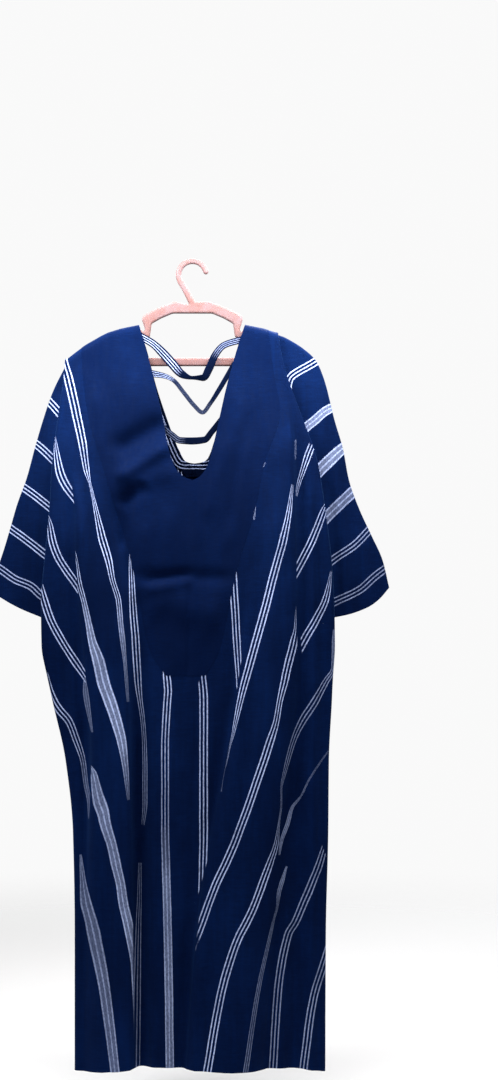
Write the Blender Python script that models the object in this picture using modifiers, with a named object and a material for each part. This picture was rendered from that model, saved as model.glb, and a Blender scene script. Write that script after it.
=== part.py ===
"""A boubou robe of striped strip-woven cotton, hanging on a plastic coat hanger.

The robe is a front and a back panel sewn together at the shoulders and sides, two wide sleeves that drop
from the ends of the hanger, a plain yoke round the deep V neck, three straps across the V, and a striped
band round the scooped back neck. The cloth falls from the hanger in long folds.

Units are metres. +Z is up, +X is to the right as the front is seen, and the front faces -Y.
The origin is the inside top of the hanger's hook, where a rail carries it. Tables are in millimetres.
"""

import math

import bmesh
import bpy
import numpy as np

MM = 0.001

# Driving sizes, in millimetres
CLOTH_WALL = 1.5
YOKE_WALL = 1.2
BAND_WALL = 1.2
SEAM_GAP = 0.6
LAYER_GAP = 0.4
SHOULDER_RADIUS = 11.0
SHOULDER_END_DROP = 5.0
VALLEY_RADIUS = 24.0
HEM_Z = -1330.0
HEM_DROOP = 7.0
HEM_WAVE = 3.0
HEM_WAVE_LENGTH = 210.0
HEM_SETTLE = 230.0
ARMHOLE_END_Z = -420.0
SLEEVE_FOLD_RADIUS = 4.0
SLEEVE_CLEARANCE = 0.8
SLEEVE_CUFF_DEPTH = 15.0
HANGER_THICKNESS = 9.0
HANGER_EDGE_RADIUS = 3.6
HOOK_INNER_RADIUS = 18.6
HOOK_HALF_WIDTH = 4.5
STEM_HALF_WIDTH = 5.6
HOOK_FOOT = (0.0, -66.0)
HOOK_STEM = ((-6.0, -54.0), (-13.0, -41.0))
HOOK_ARC_DEGREES = (207, 14)

# Where the folds of the cloth begin: below the shoulder, and this far from the side folds
FOLDS_START_Z = -150.0
FOLDS_GROWN = 90.0
FOLDS_FROM_SIDES = 22.0
RIDGE_FADE = 0.15
LEDGE_HOLLOW = 0.35
LEDGE_HOLLOW_PLACE = 0.8
LEDGE_HOLLOW_WIDTH = 0.9
ARMHOLE_CLOSING = (12.0, 55.0)
SHORTEST_RETURN = 1.5
SHARPEST_TURN = 0.98
SLEEVE_SWELL = 60.0
SLEEVE_OPENING = 1.1
ARM_ROUND_END = (0.2, 0.3)
TIP_Z = -115.0

# What lies between the hanger's arm and the shoulder's cloth: the height it needs and where it starts and ends
ARM_PLAY = 0.9
SLEEVE_ON_ARM = dict(height=4.4, start=125.0, run=9.0)
BAND_ON_ARM = dict(height=2.2, end=122.0, run=8.0)

# Where the long folds of the front run, left to right, at each height
FRONT_SECTIONS = dict(
    z=(-100, -149, -188, -249, -334, -417, -490, -563, -636, -686, -704, -727, -827, -943, -1112, -1330),
    left_edge=(-212, -212, -214, -222, -232, -237, -244, -250, -249, -240, -236, -231, -209, -197, -194, -194),
    left_ledge=(-202, -202, -202, -203, -202, -193, -191, -186, -179, -174, -173, -171, -165, -169, -172, -174),
    left_valley=(-194, -192, -190, -183, -161, -136, -116, -106, -103, -101, -101, -101, -100, -98, -96, -94),
    yoke_left=(-188, -184, -181, -173, -148, -123, -101, -86, -71, -40, -18, -22, -45, -50, -56, -66),
    centre=(2, 2, 2, 2, 2, -1, -4, -6, -8, -9.5, -10, -10, -10, -15, -28, -40),
    yoke_right=(126, 131, 136, 146, 120, 103, 80, 63, 48, 21, -2, 4, 26, 16, -6, -22),
    right_ledge=(131, 137, 143, 156, 134, 117, 100, 93, 85, 79, 77, 74, 57, 35, 9, -7),
    right_groove=(136, 142, 150, 167, 170, 171, 173, 173, 174, 173, 172, 171, 158, 146, 133, 116),
    right_edge=(141, 148, 158, 180, 209, 222, 231, 236, 237, 234, 233, 232, 227, 226, 222, 221),
)

BACK_SECTIONS = dict(
    z=(-100, -149, -188, -249, -300, -334, -352, -417, -490, -563, -636, -727, -827, -943, -1112, -1330),
    left_edge=(-212, -211, -211, -215, -220, -224, -226, -229, -235, -240, -238, -221, -200, -189, -186, -186),
    left_ledge=(-170, -168, -166, -162, -160, -158, -157, -154, -150, -146, -142, -138, -132, -128, -124, -122),
    yoke_left=(-109, -94, -84, -68, -49, -30, -14, -20, -30, -38, -44, -50, -54, -56, -58, -60),
    centre=(2, 2, 2, 2, 2, 2, 2, 2, 2, 2, 2, 2, 2, 2, 2, 2),
    yoke_right=(106, 92, 83, 70, 50, 34, 18, 24, 34, 42, 48, 54, 58, 60, 62, 64),
    right_ledge=(124, 124, 126, 128, 130, 132, 133, 136, 140, 144, 146, 146, 144, 142, 138, 134),
    right_edge=(141, 146, 154, 174, 190, 201, 206, 214, 223, 228, 229, 223, 219, 217, 214, 213),
)

# The edges of the neck opening, from the shoulders to the point where they meet
FRONT_NECK = dict(
    z=(-102, -146, -204, -262, -290, -315, -340, -356, -363),
    left=(-89, -76, -61, -48, -43, -37, -28, -15, 2),
    right=(88, 74, 58, 45, 39, 33, 25, 14, 2),
)
BACK_NECK = dict(
    z=(-102, -146, -204, -262, -284, -300, -315, -323, -328, -331, -332),
    left=(-89, -76, -61, -42, -34, -28, -21, -17, -13, -6, 2),
    right=(88, 74, 58, 45, 39, 34, 29, 25, 20, 11, 2),
)

# The shoulder line, the same on both sides of the hanger, then the tip of the left shoulder
SHOULDER = dict(x=(60, 88, 118, 141, 153, 179, 190, 212), z=(-98, -102, -108, -115, -121, -136, -144, -161))

# The side edges, sewn to the sleeves down to the armhole's end and to each other below it
SIDE_SEAMS = dict(
    z=(-100, -161, -249, -334, -420, -563, -727, -827, -943, -1330),
    left=(-210, -210, -200, -182, -154, -150, -138, -126, -120, -118),
    right=(139, 144, 152, 158, 152, 152, 150, 147, 144, 140),
)

# How far the cloth stands off the middle plane, and the radius of the folds at its sides
DEPTHS = dict(
    z=(-100, -125, -161, -200, -249, -334, -420, -563, -727, -943, -1330),
    middle=(11, 12, 16, 23, 31, 41, 47, 52, 54, 57, 61),
    left_edge=(14, 14, 14, 18, 25, 34, 38, 40, 40, 40, 41),
    right_edge=(18.5, 18.5, 20, 23, 27, 35, 39, 41, 41, 41, 42),
    left_radius=(4.2, 4.2, 4.2, 4.8, 5.8, 7.0, 7.5, 7.5, 7.5, 7.5, 7.5),
    right_radius=(4.4, 4.4, 4.6, 5.2, 6.0, 7.0, 7.5, 7.5, 7.5, 7.5, 7.5),
)

# Steps where one layer of cloth laps over the next: proud is the side that stands nearer, -1 left, +1 right
FRONT_LEDGES = (
    dict(line="left_ledge", proud=1, height=10, step=13, reach=60, start=-330, full=-430, fade=-900, end=-1080),
    dict(line="left_valley", proud=-1, height=15, step=15, reach=50, start=-400, full=-600, fade=-1330, end=-1400),
    dict(line="right_ledge", proud=1, height=13, step=14, reach=75, start=-480, full=-760, fade=-1330, end=-1400),
    dict(line="right_groove", proud=-1, height=11, step=13, reach=60, start=-190, full=-330, fade=-1330, end=-1400),
)
BACK_LEDGES = (
    dict(line="left_ledge", proud=-1, height=11, step=16, reach=70, start=-420, full=-620, fade=-1330, end=-1400),
    dict(line="right_ledge", proud=1, height=12, step=16, reach=70, start=-380, full=-560, fade=-1330, end=-1400),
)

# Long soft ridges, or valleys where the height is negative, each from top to bottom
FRONT_RIDGES = (
    dict(x0=-122, z0=-395, x1=-112, z1=-600, height=-7, width=15),
    dict(x0=-88, z0=-640, x1=-84, z1=-1330, height=-8, width=15),
    dict(x0=-158, z0=-300, x1=-140, z1=-1330, height=7, width=24),
    dict(x0=150, z0=-300, x1=128, z1=-900, height=5, width=26),
    dict(x0=198, z0=-300, x1=204, z1=-900, height=7, width=15),
    dict(x0=178, z0=-760, x1=170, z1=-1330, height=-7, width=15),
    dict(x0=202, z0=-860, x1=198, z1=-1330, height=6, width=16),
    dict(x0=88, z0=-840, x1=66, z1=-1330, height=5, width=22),
    dict(x0=-40, z0=-760, x1=-44, z1=-1330, height=5, width=18),
    dict(x0=-214, z0=-420, x1=-188, z1=-860, height=4, width=12),
    dict(x0=-34, z0=-262, x1=-118, z1=-318, height=-7, width=22),
    dict(x0=-28, z0=-345, x1=-112, z1=-372, height=5, width=20),
    dict(x0=-92, z0=-520, x1=66, z1=-524, height=-4, width=12),
    dict(x0=-58, z0=-560, x1=44, z1=-588, height=4, width=26),
)
BACK_RIDGES = (
    dict(x0=-100, z0=-380, x1=-92, z1=-1330, height=6, width=24),
    dict(x0=-28, z0=-420, x1=-22, z1=-1330, height=-5, width=22),
    dict(x0=40, z0=-400, x1=34, z1=-1330, height=6, width=24),
    dict(x0=96, z0=-460, x1=92, z1=-1330, height=-6, width=20),
    dict(x0=-186, z0=-480, x1=-160, z1=-1330, height=5, width=18),
    dict(x0=182, z0=-470, x1=178, z1=-1330, height=6, width=18),
)

# The sleeves in front view: top is the fold along the arm, cuff the open end, both from the outside in
LEFT_SLEEVE = dict(
    side=-1,
    arm_radius=4.0,
    top=((-210, -167), (-233, -213), (-250, -262), (-264, -310), (-277, -358), (-293, -402), (-304, -440),
         (-316, -480), (-330, -520), (-339, -545)),
    cuff=((-339, -545), (-319, -558), (-286, -576), (-249, -591), (-219, -603), (-188, -612)),
)
RIGHT_SLEEVE = dict(
    side=1,
    arm_radius=7.4,
    top=((139, -118), (146, -119.5), (153, -122), (166, -129), (182, -139), (206, -161), (220, -192), (238, -262),
         (252, -310), (262, -362), (280, -412), (300, -455), (318, -495), (329, -541)),
    cuff=((329, -541), (312, -560), (292, -574), (262, -585), (228, -592), (186, -600)),
)
CUFF_FLUTES = 2
CUFF_FLUTE_HEIGHT = 3.0

# Straps across the neck: how far they hang back, the middle line in front view, and the width there
UPPER_STRAP = dict(
    slack=1.0,
    x=(-91, -66, -50, -33, -17, 0, 18, 28, 38, 53, 90),
    z=(-120, -134, -149, -168, -185, -191, -191, -176, -154, -137, -126),
    width=(13, 13, 15, 16, 13, 6, 11, 13, 12, 11, 12),
)
MIDDLE_STRAP = dict(
    slack=6.0,
    x=(-73, -48, -32, -14, 3, 17, 30, 43, 71),
    z=(-184, -188, -195, -216, -237, -249, -234, -214, -167),
    width=(13, 9, 7, 7, 7, 7, 7, 8, 9),
)
LOWER_STRAP = dict(
    slack=4.0,
    x=(-54, -34, -20, 0, 21, 32, 53),
    z=(-270, -287, -296, -297, -295, -283, -257),
    width=(11, 11, 11, 12, 11, 10, 10),
)
STRAP_WALL = 1.5

# Colours as linear RGB, with roughness
INDIGO = ((0.012, 0.026, 0.095), 0.85)
YOKE_INDIGO = ((0.016, 0.034, 0.125), 0.85)
STRIPED = ((0.050, 0.068, 0.160), 0.85)
PLASTIC = ((0.80, 0.28, 0.24), 0.35)

# How finely the panels are divided
EDGE_TURN_STEPS = 4
RETURN_STEPS = (0.0, 2.0, 9.0, 24.0)
FRONT_LEFT_COLUMNS = (2, 3, 2, 4)
FRONT_RIGHT_COLUMNS = (2, 3, 2, 4)
BACK_COLUMNS = (4, 5, 3)
SHOULDER_DROPS = (0.0, 0.12, 2.0, 5.6, 11.0)
NECK_ROWS = 6
BELOW_NECK_ROWS = 2
SLEEVE_ROWS = 9
SLEEVE_AROUND = (0.14, 0.30, 0.5, 0.70, 0.86)
SLEEVE_TIP = (0, 0.13, 0.5, 1)
STRAP_STEPS = 17
HOOK_STEPS = 20
HOOK_TIP_STEPS = 7
HANGER_EDGE_STEPS = 2
SHOULDER_SOLVING_STEPS = 6
WELD = 0.00002
LOWER_LEVELS = (-420, -465, -510, -563, -620, -672, -704, -760, -827, -890, -960, -1040, -1120, -1200, -1270, -1330)
YOKE_BOTTOM_Z = -704.0
BAND_BOTTOM_Z = -352.0


def along(table, name, z):
    """The named column of a table at these heights, on a smooth curve through its rows."""
    rows = np.asarray(table["z"], float)
    values = np.asarray(table[name], float)
    if rows[0] > rows[-1]:
        rows, values = rows[::-1], values[::-1]
    steps = np.diff(rows)
    slopes = np.diff(values) / steps
    tangents = np.concatenate([[slopes[0]], np.zeros(len(slopes) - 1), [slopes[-1]]])
    same_way = slopes[:-1] * slopes[1:] > 0
    tangents[1:-1][same_way] = 2 * slopes[:-1][same_way] * slopes[1:][same_way] / (
        slopes[:-1][same_way] + slopes[1:][same_way])
    z = np.clip(np.asarray(z, float), rows[0], rows[-1])
    i = np.clip(np.searchsorted(rows, z, side="right") - 1, 0, len(steps) - 1)
    t = (z - rows[i]) / steps[i]
    return (values[i] * (1 + 2 * t) * (1 - t) ** 2 + steps[i] * tangents[i] * t * (1 - t) ** 2
            + values[i + 1] * t ** 2 * (3 - 2 * t) + steps[i] * tangents[i + 1] * t ** 2 * (t - 1))


def smooth(t):
    """0 below 0, 1 above 1, and an even rise between."""
    t = np.clip(t, 0, 1)
    return t * t * (3 - 2 * t)


def quarter_round(t):
    """The height of a quarter circle, 0 at t = 0 and 1 from t = 1 on."""
    return np.sqrt(np.clip(1 - (1 - np.clip(t, 0, 1)) ** 2, 0, 1))


def shoulder_z(x):
    """Height of the shoulder line over this x."""
    return np.interp(np.abs(x), SHOULDER["x"], SHOULDER["z"])


def ridge_height(x, z, x0, z0, x1, z1, height, width):
    """A soft ridge along the line from (x0, z0) to (x1, z1), fading at both ends."""
    run, fall = x1 - x0, z1 - z0
    length = math.hypot(run, fall)
    t = ((x - x0) * run + (z - z0) * fall) / length ** 2
    across = ((x - x0) * fall - (z - z0) * run) / length
    fade_in = smooth((t + RIDGE_FADE) / (2 * RIDGE_FADE))
    to_hem = z1 <= HEM_Z
    fade_out = 1.0 if to_hem else smooth((1 + RIDGE_FADE - t) / (2 * RIDGE_FADE))
    return height * np.exp(-((across / width) ** 2)) * fade_in * fade_out


def ledge_height(x, z, sections, line, proud, height, step, reach, start, full, fade, end):
    """A lap of cloth: a steep rise across its line, then a slow fall on the proud side."""
    across = (x - along(sections, line, z)) * proud
    grown = smooth((start - z) / (start - full)) * (1 - smooth((fade - z) / (fade - end)))
    rise = smooth(across / step + 0.5)
    settle = np.exp(-np.clip(across - step / 2, 0, None) / reach)
    hollow = -LEDGE_HOLLOW * np.exp(-((across + step * LEDGE_HOLLOW_PLACE) / (step * LEDGE_HOLLOW_WIDTH)) ** 2)
    return height * grown * (rise * settle + hollow)


def stand_off(face, x, z):
    """How far a panel's main layer stands off the middle plane at (x, z)."""
    sections = face["sections"]
    left = along(sections, "left_edge", z) + along(DEPTHS, "left_radius", z)
    right = along(sections, "right_edge", z) - along(DEPTHS, "right_radius", z)
    share = np.clip((x - left) / (right - left), 0, 1)
    edge = along(DEPTHS, "left_edge", z) * (1 - share) + along(DEPTHS, "right_edge", z) * share
    middle = along(DEPTHS, "middle", z)
    base = edge + (middle - edge) * 4 * share * (1 - share)
    folds = sum(ledge_height(x, z, sections, **ledge) for ledge in face["ledges"])
    folds = folds + sum(ridge_height(x, z, **ridge) for ridge in face["ridges"])
    clear_of_sides = smooth((x - left) / FOLDS_FROM_SIDES) * smooth((right - x) / FOLDS_FROM_SIDES)
    clear_of_hanger = smooth((FOLDS_START_Z - z) / FOLDS_GROWN)
    return base + folds * clear_of_sides * clear_of_hanger


def hem_drop(x, z):
    """The hem sags a little to the sides and waves with the folds."""
    near_hem = np.clip((HEM_Z + HEM_SETTLE - z) / HEM_SETTLE, 0, 1) ** 2
    wave = HEM_WAVE * np.sin(2 * math.pi * x / HEM_WAVE_LENGTH)
    return -near_hem * (HEM_DROOP * (x / 200.0) ** 2 + wave)


def side_return(face, side, z, turn_steps, return_steps):
    """Columns from the sewn side edge round the side fold to the main layer: lists of x and stand-off.

    return_steps are distances from the sewn edge."""
    name = "left" if side < 0 else "right"
    fold = along(face["sections"], name + "_edge", z)
    radius = along(DEPTHS, name + "_radius", z)
    depth = along(DEPTHS, name + "_edge", z)
    seam = along(SIDE_SEAMS, name, z)
    inset = np.abs(fold - seam)
    short = np.clip((radius - inset) / radius, 0, SHARPEST_TURN)
    turn = math.pi - np.arcsin(short)
    straight = np.maximum(inset - radius, SHORTEST_RETURN)
    start = fold - side * radius
    end_x = start + side * radius * np.sin(turn)
    end_depth = depth - radius * (1 - np.cos(turn))
    closing = smooth((ARMHOLE_END_Z + ARMHOLE_CLOSING[0] - z) / ARMHOLE_CLOSING[1])
    columns = []
    for i, distance in enumerate(return_steps):
        from_seam = np.minimum(distance, straight * i / len(return_steps))
        reach = straight - from_seam
        x = end_x + side * reach * np.cos(turn)
        y = end_depth - reach * np.sin(turn)
        y = y + (SEAM_GAP / 2 - y) * (1 - quarter_round(from_seam / VALLEY_RADIUS)) * closing
        columns.append((x, y))
    for k in range(turn_steps, 0, -1):
        angle = turn * k / turn_steps
        columns.append((start + side * radius * np.sin(angle), depth - radius * (1 - np.cos(angle))))
    return columns


def column_stops(face, side, counts):
    """Columns of the main layer from the side fold to the neck or centre, as (line, next line, share)."""
    lines = face["left_lines"] if side < 0 else face["right_lines"]
    stops = []
    for i, count in enumerate(counts):
        for k in range(count):
            stops.append((lines[i], lines[i + 1], k / count))
    stops.append((lines[-2], lines[-1], 1.0))
    return stops


def line_x(face, side, name, z):
    """x of a named line of the panel at these heights."""
    sections, neck = face["sections"], face["neck"]
    if name == "start":
        word = "left" if side < 0 else "right"
        return along(sections, word + "_edge", z) - side * along(DEPTHS, word + "_radius", z)
    if name == "middle":
        edge = along(neck, "left" if side < 0 else "right", z)
        return np.where(z > neck["z"][-1], edge, along(sections, "centre", z))
    return along(sections, name, z)


def half_grid(face, side, counts, turn_steps, return_steps):
    """x, stand-off and z of one half panel, as arrays of columns by rows, from the side edge to the middle."""
    stops = column_stops(face, side, counts)
    neck_end = face["neck"]["z"][-1]
    drops = np.array(face["drops"])
    lower = np.array(face["levels"], float)
    tip_x = along(face["sections"], "left_edge" if side < 0 else "right_edge", TIP_Z)
    neck_x = along(face["neck"], "left" if side < 0 else "right", face["neck"]["z"][0])
    columns = []
    for name, following, share in stops:
        order = stops.index((name, following, share)) / (len(stops) - 1)
        top_x = tip_x + (neck_x - tip_x) * order
        for _ in range(SHOULDER_SOLVING_STEPS):
            top_z = shoulder_z(top_x)
            top_x = (line_x(face, side, name, top_z) * (1 - share)
                     + line_x(face, side, following, top_z) * share)
        top_z = float(shoulder_z(top_x))
        mid = top_z - drops[-1]
        outer = np.linspace(mid, lower[0], face["neck_rows"] + face["below_rows"] + 1)[1:]
        inner = np.concatenate([np.linspace(mid, neck_end, face["neck_rows"] + 1)[1:],
                                np.linspace(neck_end, lower[0], face["below_rows"] + 1)[1:]])
        z = np.concatenate([top_z - drops, outer * (1 - order) + inner * order, lower[1:]])
        x = line_x(face, side, name, z) * (1 - share) + line_x(face, side, following, z) * share
        x[0] = top_x
        depth = stand_off(face, x, z)
        columns.append((x, depth, z, top_z))
    edge_z, edge_top = columns[0][2], columns[0][3]
    end_of_roll = drops[-1]
    rows_in_roll = len(drops)
    outer_columns = side_return(face, side, edge_z, turn_steps, return_steps)
    turned = []
    for i in range(len(outer_columns)):
        fan = SHOULDER_END_DROP * smooth((len(outer_columns) - i) / turn_steps)
        z = edge_z.copy()
        z[:rows_in_roll] = edge_top - fan - drops * (end_of_roll - fan) / end_of_roll
        x, y = side_return(face, side, z, turn_steps, return_steps)[i]
        turned.append((x, y, z, edge_top))
    columns = turned + columns
    x, y, z, top = (np.array([np.broadcast_to(c[i], edge_z.shape) for c in columns]) for i in range(4))
    rounding = quarter_round((top - z) / SHOULDER_RADIUS)
    y = SEAM_GAP / 2 + (y - SEAM_GAP / 2) * rounding
    return x, y, z + hem_drop(x, z)


def panel_mesh(face, left, right, first_left, first_right, last_row, lift=0.0):
    """Points and faces of a panel, or of the part of it from columns first_left and first_right in.

    The two halves share their middle column from the neck's end down, and are apart above it."""
    facing = face["facing"]
    neck_row = len(face["drops"]) - 1 + face["neck_rows"]
    points, index = [], {}
    for half, (grid, first) in enumerate(((left, first_left), (right, first_right))):
        x, y, z = grid
        normals = lifted_normals(x, facing * y, z, half)
        for c in range(first, x.shape[0]):
            for r in range(last_row + 1):
                shared = c == x.shape[0] - 1 and r >= neck_row
                if half == 1 and shared:
                    index[half, c, r] = index[0, left[0].shape[0] - 1, r]
                    continue
                spot = np.array([x[c, r], facing * y[c, r], z[c, r]]) + lift * normals[c, r]
                index[half, c, r] = len(points)
                points.append(spot)
    faces = []
    for half, (grid, first) in enumerate(((left, first_left), (right, first_right))):
        for c in range(first, grid[0].shape[0] - 1):
            for r in range(last_row):
                quad = [index[half, c, r], index[half, c, r + 1], index[half, c + 1, r + 1], index[half, c + 1, r]]
                faces.append(quad if (half == 0) == (facing < 0) else quad[::-1])
    return np.array(points), faces


def lifted_normals(x, y, z, half):
    """Unit normals of a grid of columns by rows, pointing away from the robe's inside."""
    spots = np.stack([x, y, z], axis=-1)
    across = np.gradient(spots, axis=0)
    down = np.gradient(spots, axis=1)
    normals = np.cross(down, across)
    normals /= np.maximum(np.linalg.norm(normals, axis=-1, keepdims=True), 1e-9)
    outward = (1 if half == 0 else -1) * (1 if y.mean() < 0 else -1)
    return normals * outward


def make_face(facing):
    """The description of the front (facing -1) or the back (facing +1) panel."""
    front = facing < 0
    return dict(
        facing=facing,
        sections=FRONT_SECTIONS if front else BACK_SECTIONS,
        neck=FRONT_NECK if front else BACK_NECK,
        ledges=FRONT_LEDGES if front else BACK_LEDGES,
        ridges=FRONT_RIDGES if front else BACK_RIDGES,
        left_lines=("start", "left_ledge", "left_valley", "yoke_left", "middle") if front
        else ("start", "left_ledge", "yoke_left", "middle"),
        right_lines=("start", "right_groove", "right_ledge", "yoke_right", "middle") if front
        else ("start", "right_ledge", "yoke_right", "middle"),
        drops=SHOULDER_DROPS,
        neck_rows=NECK_ROWS,
        below_rows=BELOW_NECK_ROWS if front else BELOW_NECK_ROWS + 1,
        levels=LOWER_LEVELS,
    )


def material(name, colour, roughness):
    """A Principled material."""
    made = bpy.data.materials.new(name)
    made.use_nodes = True
    shader = made.node_tree.nodes["Principled BSDF"]
    shader.inputs["Base Color"].default_value = (*colour, 1.0)
    shader.inputs["Roughness"].default_value = roughness
    made.diffuse_color = (*colour, 1.0)
    return made


def add_object(name, points, faces, finish, collection):
    """A mesh object from points in millimetres."""
    mesh = bpy.data.meshes.new(name)
    mesh.from_pydata([tuple(p) for p in np.asarray(points) * MM], [], faces)
    mesh.materials.append(finish)
    mesh.shade_smooth()
    obj = bpy.data.objects.new(name, mesh)
    collection.objects.link(obj)
    return obj


def add_wall(obj, wall, offset):
    """Gives an open cloth surface its thickness, to the inside where offset is -1 and outwards where it is 1."""
    solid = obj.modifiers.new("Cloth wall", "SOLIDIFY")
    solid.thickness = wall * MM
    solid.offset = offset
    return obj


def edge_line(face, side, z):
    """x and stand-off of a panel's sewn side edge."""
    return side_return(face, side, z, 1, (0.0,))[0]


def bezier_through(points, shares):
    """Points at these shares of the length of a smooth curve through the given ones."""
    points = np.asarray(points, float)
    chords = np.linalg.norm(np.diff(points, axis=0), axis=1)
    distance = np.concatenate([[0], np.cumsum(chords)])
    table = dict(z=distance, x=points[:, 0], y=points[:, 1])
    wanted = np.asarray(shares) * distance[-1]
    return np.stack([along(table, "x", wanted), along(table, "y", wanted)], axis=-1)


def sleeve_grid(sleeve, lengthwise, around):
    """Points of a sleeve as rows along the arm by columns round it, starting and ending at the top fold.

    around lists the shares from the top fold down to the underarm fold."""
    side = sleeve["side"]
    front = make_face(-1)
    shares = np.asarray(lengthwise)
    top = bezier_through(sleeve["top"], shares)
    cuff_points = np.asarray(sleeve["cuff"], float)
    start_z, end_z = sleeve["top"][0][1], ARMHOLE_END_Z
    under_start = np.array([float(along(SIDE_SEAMS, "left" if side < 0 else "right", end_z)), end_z])
    under = under_start + (cuff_points[-1] - under_start) * shares[:, None]
    grid = []
    for i, p in enumerate(shares):
        length = np.linalg.norm(under[i] - top[i])
        over_arm = SLEEVE_FOLD_RADIUS + (sleeve["arm_radius"] - SLEEVE_FOLD_RADIUS) * (
            1 - smooth((p - ARM_ROUND_END[0]) / ARM_ROUND_END[1]))
        tip = over_arm / length
        near_tip = tip * np.asarray(SLEEVE_TIP)
        steps = np.concatenate([near_tip, tip + (1 - 2 * tip) * np.asarray(around), 1 - near_tip[::-1]])
        arm_z = start_z + (end_z - start_z) * steps
        arm_x, arm_depth = edge_line(front, side, arm_z)
        arm = np.stack([arm_x, arm_z], axis=-1)
        cuff = bezier_through(cuff_points, steps)
        ruled_ends = arm * (1 - p) + cuff * p
        ruled_sides = top[i] * (1 - steps[:, None]) + under[i] * steps[:, None]
        corners = ((arm[0] * (1 - p) + cuff[0] * p) * (1 - steps[:, None])
                   + (arm[-1] * (1 - p) + cuff[-1] * p) * steps[:, None])
        flat = ruled_ends + ruled_sides - corners
        inside = np.minimum(steps, 1 - steps) * length
        radius = np.where(steps < 0.5, over_arm, SLEEVE_FOLD_RADIUS)
        tip_part = radius * quarter_round(inside / radius)
        armhole = np.maximum(arm_depth - SLEEVE_CLEARANCE, radius)
        opened = smooth(p * SLEEVE_OPENING)
        room = armhole * (1 - opened) + SLEEVE_CUFF_DEPTH * opened - radius
        swell = smooth(inside / SLEEVE_SWELL)
        flutes = CUFF_FLUTE_HEIGHT * p * swell * np.sin(2 * math.pi * CUFF_FLUTES * steps)
        depth = tip_part + room * swell
        near = np.stack([flat[:, 0], -depth - flutes, flat[:, 1]], axis=-1)
        far = np.stack([flat[:, 0], depth - flutes, flat[:, 1]], axis=-1)
        grid.append(np.concatenate([near, far[-2:0:-1]]))
    return np.array(grid)


def tube_faces(rows, columns, flip):
    """Quads of an open tube of this many rings."""
    faces = []
    for r in range(rows - 1):
        for c in range(columns):
            quad = [r * columns + c, r * columns + (c + 1) % columns,
                    (r + 1) * columns + (c + 1) % columns, (r + 1) * columns + c]
            faces.append(quad[::-1] if flip else quad)
    return faces


def build_sleeve(name, sleeve, finish, collection):
    """One wide sleeve, flattened as it hangs, open at the armhole and the cuff."""
    grid = sleeve_grid(sleeve, np.linspace(0, 1, SLEEVE_ROWS), SLEEVE_AROUND)
    rows, columns = grid.shape[:2]
    faces = tube_faces(rows, columns, sleeve["side"] < 0)
    return add_wall(add_object(name, grid.reshape(-1, 3), faces, finish, collection), CLOTH_WALL, -1)


def strap_grid(strap, depth_at, steps):
    """Cross-sections of a flat strap: four corner points at each step along it."""
    middle = np.stack([strap["x"], strap["z"]], axis=-1).astype(float)
    shares = np.linspace(0, 1, steps)
    line = bezier_through(middle, shares)
    chords = np.concatenate([[0], np.cumsum(np.linalg.norm(np.diff(middle, axis=0), axis=1))])
    width = along(dict(z=chords, w=strap["width"]), "w", shares * chords[-1])
    heading = np.gradient(line, axis=0)
    heading /= np.linalg.norm(heading, axis=1, keepdims=True)
    side = np.stack([-heading[:, 1], heading[:, 0]], axis=-1)
    low = line - side * width[:, None] / 2
    high = line + side * width[:, None] / 2
    low_y, high_y = -depth_at(low, shares), -depth_at(high, shares)
    rings = []
    for i in range(steps):
        rings.append([(low[i, 0], low_y[i], low[i, 1]), (high[i, 0], high_y[i], high[i, 1]),
                      (high[i, 0], high_y[i] + STRAP_WALL, high[i, 1]),
                      (low[i, 0], low_y[i] + STRAP_WALL, low[i, 1])])
    return np.array(rings)


def strap_depth(face, slack):
    """A function that gives a strap's stand-off: against the panel's inside at its ends, and slack between."""
    def depth_at(line, shares):
        behind = stand_off(face, line[:, 0], line[:, 1]) - CLOTH_WALL - LAYER_GAP
        between = behind[0] * (1 - shares) + behind[-1] * shares
        return np.minimum(behind, between) - slack * np.sin(math.pi * shares)
    return depth_at


def build_strap(name, strap, face, finish, collection):
    """A flat cloth strap hanging across the neck opening."""
    rings = strap_grid(strap, strap_depth(face, strap["slack"]), STRAP_STEPS)
    count = len(rings)
    faces = []
    for r in range(count - 1):
        for c in range(4):
            faces.append([r * 4 + c, (r + 1) * 4 + c, (r + 1) * 4 + (c + 1) % 4, r * 4 + (c + 1) % 4])
    faces.append([0, 1, 2, 3])
    faces.append([(count - 1) * 4 + k for k in (3, 2, 1, 0)])
    obj = add_object(name, rings.reshape(-1, 3), faces, finish, collection)
    face_outwards(obj)
    return obj


def face_outwards(obj):
    """Recalculates the normals of a closed mesh so that they point out."""
    shape = bmesh.new()
    shape.from_mesh(obj.data)
    bmesh.ops.recalc_face_normals(shape, faces=shape.faces)
    shape.to_mesh(obj.data)
    shape.free()


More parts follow.
